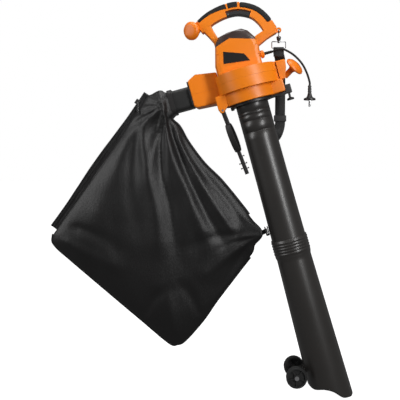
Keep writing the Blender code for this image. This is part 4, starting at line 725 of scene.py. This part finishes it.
zipper = {"top": (-0.296, 0.042, -0.249), "end": (-0.588, 0.042, -0.664), "width": 0.030, "pitch": 0.0032,
          "first": 0.050, "inset": 0.0069, "apart": 0.0011, "tooth": (0.0014, 0.0024, 0.0012)}
zipTop, zipEnd = np.array(zipper["top"]), np.array(zipper["end"])
zipWay = (zipEnd - zipTop) / np.linalg.norm(zipEnd - zipTop)
zipSide = np.array((zipWay[2], 0.0, -zipWay[0]))  # across the flap, in towards the bag
if zipSide[0] < 0:
    zipSide = -zipSide


def flapMesh():
    # a folded strip with a raised hem along both edges, bowed a little between its ends
    t = np.linspace(0, 1, 120)
    length = np.linalg.norm(zipEnd - zipTop)
    path = zipTop + zipWay * (t * length)[:, None] + zipSide * (0.0125 + 0.002 * np.sin(t * 9))[:, None]
    path[:, 1] += -0.002 * np.sin(t * math.pi) + 0.0006 * np.sin(t * 40)
    w = zipper["width"] / 2
    u = np.linspace(-1, 1, 41)
    hem = 0.0016 * (np.exp(-(((u - 0.88) / 0.10) ** 2)) + np.exp(-(((u + 0.88) / 0.10) ** 2)))
    dip = 0.0006 * np.exp(-((u / 0.16) ** 2))
    top = np.column_stack((u * w, 0.0024 + hem - dip))
    bottom = np.column_stack((u[::-1] * w, -0.0024 - hem[::-1] * 0.6))
    return sweptMesh("zip_flap", path, np.vstack((top, bottom)), zipSide)


link("zip_flap", flapMesh(), looks["nylonHem"], node="collecting_bag")


def boxesAlong(name, centres, along, side, out, size):
    # one small box with eight corners at each centre
    signs = np.array([(a, b, c) for a in (-1, 1) for b in (-1, 1) for c in (-1, 1)]) * np.array(size) / 2
    spread = signs[:, :1] * along + signs[:, 1:2] * side + signs[:, 2:3] * out
    corners = centres[:, None] + spread[None]
    quads = np.array([(0, 1, 3, 2), (4, 6, 7, 5), (0, 4, 5, 1), (2, 3, 7, 6), (0, 2, 6, 4), (1, 5, 7, 3)])
    faces = (quads[None] + 8 * np.arange(len(centres))[:, None, None]).reshape(-1, 4)
    mesh = bpy.data.meshes.new(name)
    mesh.from_pydata(corners.reshape(-1, 3).tolist(), [], faces.tolist())
    return outward(mesh)


zipLong = float(np.linalg.norm(zipEnd - zipTop))
steps = np.arange(zipper["first"], zipLong - 0.004, zipper["pitch"])
teethRows = []
for row, shift in ((0, -zipper["apart"]), (1, zipper["apart"])):
    spots = zipTop + zipWay * (steps + row * zipper["pitch"] / 2)[:, None] + zipSide * (zipper["inset"] + shift)
    spots[:, 1] -= 0.0048 + 0.002 * np.sin((steps / zipLong) * math.pi)
    teethRows.append(boxesAlong("row", spots, zipWay, zipSide, toolY, zipper["tooth"]))
teeth = link("zip_teeth", joined("zip_teeth", teethRows), looks["zipMetal"], smooth=False)
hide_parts("collecting_bag")
pull = {"at": (-0.3165, 0.0335, -0.2810), "drop": 0.026, "wire": 0.0008, "eye": (0.0030, 0.0042),
        "tab": (0.0052, 0.0015, 0.0006)}


def pullMesh():
    # a wire eye in front of the slider and a flat tab hanging from it
    x, y, z = pull["at"]
    a = np.linspace(0, 2 * math.pi, 28, endpoint=False)
    deep, high = pull["eye"]
    eye = np.column_stack((np.full(28, x), y + deep * np.cos(a) - deep, z - 0.0020 + high * np.sin(a)))
    parts = [sweptMesh("eye", eye, roundSection(pull["wire"], 10), (1, 0, 0), closedPath=True)]
    t = np.linspace(0, 1, 24)[:, None]
    run = np.array((x, y - 0.0052, z - 0.0050)) + t * np.array((0.0005, -0.0010, -pull["drop"]))
    shape = flatSection(*pull["tab"])
    grow = np.interp(t[:, 0], (0, 0.12, 0.3, 0.85, 1), (0.55, 1, 0.8, 1.1, 0.6))
    wide = shape[None, :, :1] * grow[:, None, None] * np.array((1, 0, 0))
    points = run[:, None] + wide + shape[None, :, 1:2] * toolY
    parts.append(outward(gridMesh("tab", points, wrapCols=True, capStart=True, capEnd=True)))
    return joined("zip_pull", parts)


zipPull = link("zip_pull", pullMesh(), looks["zipMetal"], body="slider_body")
print("flap, zip and hems made")

relief = {"from": 0.0560, "tip": 0.1010, "thick": 0.0049, "thin": 0.0040, "rings": 8}
reach = relief["tip"] - relief["from"]
t = np.linspace(0, 1, 130)
ribbed = 0.00055 * np.clip(np.sin(t * relief["rings"] * 2 * math.pi), -0.6, 1) * (t > 0.22) * (t < 0.97)
reliefProfile = np.column_stack((relief["thick"] + (relief["thin"] - relief["thick"]) * t + ribbed, reach * t))
reliefProfile = np.vstack(((0.0002, 0.0), reliefProfile, (0.0002, reach)))
sleeveAt = toWorld((relief["from"], *lead["start"][1:]))
sleeveMesh = outward(turnedMesh("lead_sleeve", reliefProfile, 40, sleeveAt, (toolY, toolZ, toolX)))
link("lead_sleeve", sleeveMesh, looks["leadRubber"], node="strain_relief")

strap = {"width": 0.032, "thick": 0.0020, "ringX": 0.1179, "ringLow": -0.1185, "reach": 0.0028,
         "twist": 58, "twistFrom": -0.345}


def strapMesh():
    # round the ring's bar, back behind the head, then down; it turns on its edge as it falls
    x, low, reach = strap["ringX"], strap["ringLow"], strap["reach"]
    a = np.radians(np.linspace(200, -20, 12))
    fold = np.column_stack((np.full(12, x), reach * np.cos(a), low + reach * np.sin(a)))
    front = np.array([(x, -reach - 0.0006, low - 0.026)])
    down = np.array([(x, 0.0050, low - 0.014), (0.1240, 0.0300, -0.1500), (0.1250, 0.0560, -0.1720),
                     (0.1270, 0.0680, -0.2100), (0.1270, 0.0700, -0.2600), (0.1265, 0.0698, -0.3090),
                     (0.1265, 0.0698, -0.3290), (0.1260, 0.0698, -0.3490), (0.1215, 0.0680, -0.3700),
                     (0.1120, 0.0640, -0.4050), (0.1000, 0.0590, -0.4400), (0.0960, 0.0575, -0.4550)])
    path = splineThrough(np.vstack((front, fold, down)), 170)
    turn = np.radians(strap["twist"]) * np.clip((strap["twistFrom"] - path[:, 2]) / 0.05, 0, 1) ** 2
    across = np.column_stack((np.cos(turn), np.sin(turn), np.zeros(len(turn))))
    return sweptMesh("shoulder_webbing", path, flatSection(strap["width"], strap["thick"]), across)


link("shoulder_webbing", strapMesh(), looks["webbing"], node="shoulder_strap")
print("strap made")

tether = {"pin": toWorld((-0.091, -0.024, -0.074)), "end": (0.0225, -0.024, -0.5020), "open": 27.0,
          "studs": ((0.149, 1), (0.169, -1), (0.172, 1), (0.184, -1), (0.188, 1)), "stud": 0.0017,
          "loopAt": 0.088, "loop": (0.043, 0.0095)}
tetherWay = np.array(tether["end"]) - tether["pin"]
tetherLong = float(np.linalg.norm(tetherWay))
tetherWay /= tetherLong
tetherSide = np.cross(toolY, tetherWay)  # sideways, to the right
if tetherSide[0] < 0:
    tetherSide = -tetherSide


def tetherMesh():
    pin = tether["pin"]

    def strip(first, last, width, thick, count=20):
        # a flat length of the band, between two distances from the pin
        t = np.linspace(first, last, count)[:, None]
        return sweptMesh("strip", pin + tetherWay * t, flatSection(width, thick), tetherSide)

    eye = [(0.0033, -0.002), (0.0070, -0.002), (0.0074, -0.0012), (0.0074, 0.0012), (0.0070, 0.002),
           (0.0033, 0.002)]
    parts = [outward(turnedMesh("eye", eye, 40, pin, (tetherSide, tetherWay, toolY)))]
    parts.append(strip(0.0045, 0.050, 0.0135, 0.0038))
    turn = math.radians(tether["open"])  # the loop stands open towards the right
    axis = tetherSide * math.cos(turn) - toolY * math.sin(turn)
    out = np.cross(axis, tetherWay)
    a = np.linspace(0, 2 * math.pi, 90, endpoint=False)
    high, wide = tether["loop"]
    ring = pin + tetherWay * (tether["loopAt"] + high * np.cos(a))[:, None] + out * (wide * np.sin(a))[:, None]
    parts.append(sweptMesh("loop", ring, flatSection(0.019, 0.0028, 0.0010), axis, closedPath=True))
    parts.append(strip(0.126, tetherLong - 0.001, 0.0120, 0.0036, 30))
    for at, side in tether["studs"]:
        foot = pin + tetherWay * at + tetherSide * side * 0.0055
        run = foot + tetherSide * side * np.linspace(0, 0.0065, 8)[:, None]
        size = np.array([0.9, 0.8, 0.75, 0.75, 0.9, 1.5, 1.6, 1.2])[:, None, None]
        disc = roundSection(tether["stud"], 14)[None] * size
        pts = run[:, None] + disc[..., :1] * toolY + disc[..., 1:2] * tetherWay
        parts.append(outward(gridMesh("stud", pts, wrapCols=True, capStart=True, capEnd=True)))
    return joined("tether_band", parts)


link("tether_band", tetherMesh(), looks["bandRubber"], body="tether_body", node="tether")
print("tether made")

stage = {"floor": -1.1895, "reach": 14.0, "shades": (0.40, 0.42), "room": 0.16, "behind": 1.0}
darker, lighter = [(shade, shade, shade, 1.0) for shade in stage["shades"]]
paper = Board("paper", darker[:3], 0.85)
paper.feed("Base Color", paper.blend(paper.noise(3.0), darker, lighter))
paper.feed("Emission Color", (1.0, 1.0, 1.0, 1.0))
paper.feed("Emission Strength", 1.0)
r = stage["reach"]
floorPoints = np.array([[(-r, -r, stage["floor"]), (-r, r, stage["floor"])],
                        [(r, -r, stage["floor"]), (r, r, stage["floor"])]])
floor = link("floor", gridMesh("floor", floorPoints[:, ::-1]), paper.material, None, False)
floor.visible_diffuse = floor.visible_glossy = False  # the white sheet lends the tool no light of its own

world = bpy.data.worlds.new("studio")
bpy.context.scene.world = world
world.use_nodes = True
sky = world.node_tree.nodes["Background"]
sky.inputs["Color"].default_value = (1.0, 1.0, 1.0, 1.0)
seen = world.node_tree.nodes.new("ShaderNodeLightPath")
level = world.node_tree.nodes.new("ShaderNodeMapRange")  # white paper behind, a dimmer room in the reflections
level.inputs["To Min"].default_value, level.inputs["To Max"].default_value = stage["room"], stage["behind"]
world.node_tree.links.new(seen.outputs["Is Camera Ray"], level.inputs["Value"])
world.node_tree.links.new(level.outputs["Result"], sky.inputs["Strength"])


def softbox(name, at, aim, size, power):
    data = bpy.data.lights.new(name, "AREA")
    data.shape, data.size, data.size_y, data.energy = "RECTANGLE", size[0], size[1], power
    lamp = bpy.data.objects.new(name, data)
    turn = (Vector(aim) - Vector(at)).to_track_quat("-Z", "Y")
    lamp.matrix_world = Matrix.Translation(at) @ turn.to_matrix().to_4x4()
    bpy.context.scene.collection.objects.link(lamp)


lamps = {  # place, aim, size and watts
    "key": ((1.25, -1.9, 0.35), (0.0, 0.0, -0.5), (0.35, 1.9), 47),
    "fill": ((-2.1, -0.9, 0.3), (-0.2, 0.0, -0.5), (0.6, 1.6), 22),
    "top": ((0.0, -0.2, 1.3), (0.0, 0.0, -0.3), (1.4, 0.9), 22),
}
for name, settings in lamps.items():
    softbox(name, *settings)

view = {"height": -0.435, "distance": 1.93, "lens": 56.95, "shift": (-0.10, -0.12)}
cameraData = bpy.data.cameras.new("camera")
cameraData.lens, cameraData.sensor_width = view["lens"], 36.0
cameraData.shift_x, cameraData.shift_y = view["shift"]
cameraData.clip_start, cameraData.clip_end = 0.05, 60.0
camera = bpy.data.objects.new("camera", cameraData)
camera.location = (0.0, -view["distance"], view["height"])
camera.rotation_euler = (math.radians(90), 0.0, 0.0)
bpy.context.scene.collection.objects.link(camera)
bpy.context.scene.camera = camera
bpy.context.scene.view_settings.view_transform = "Standard"

print("scene ready")
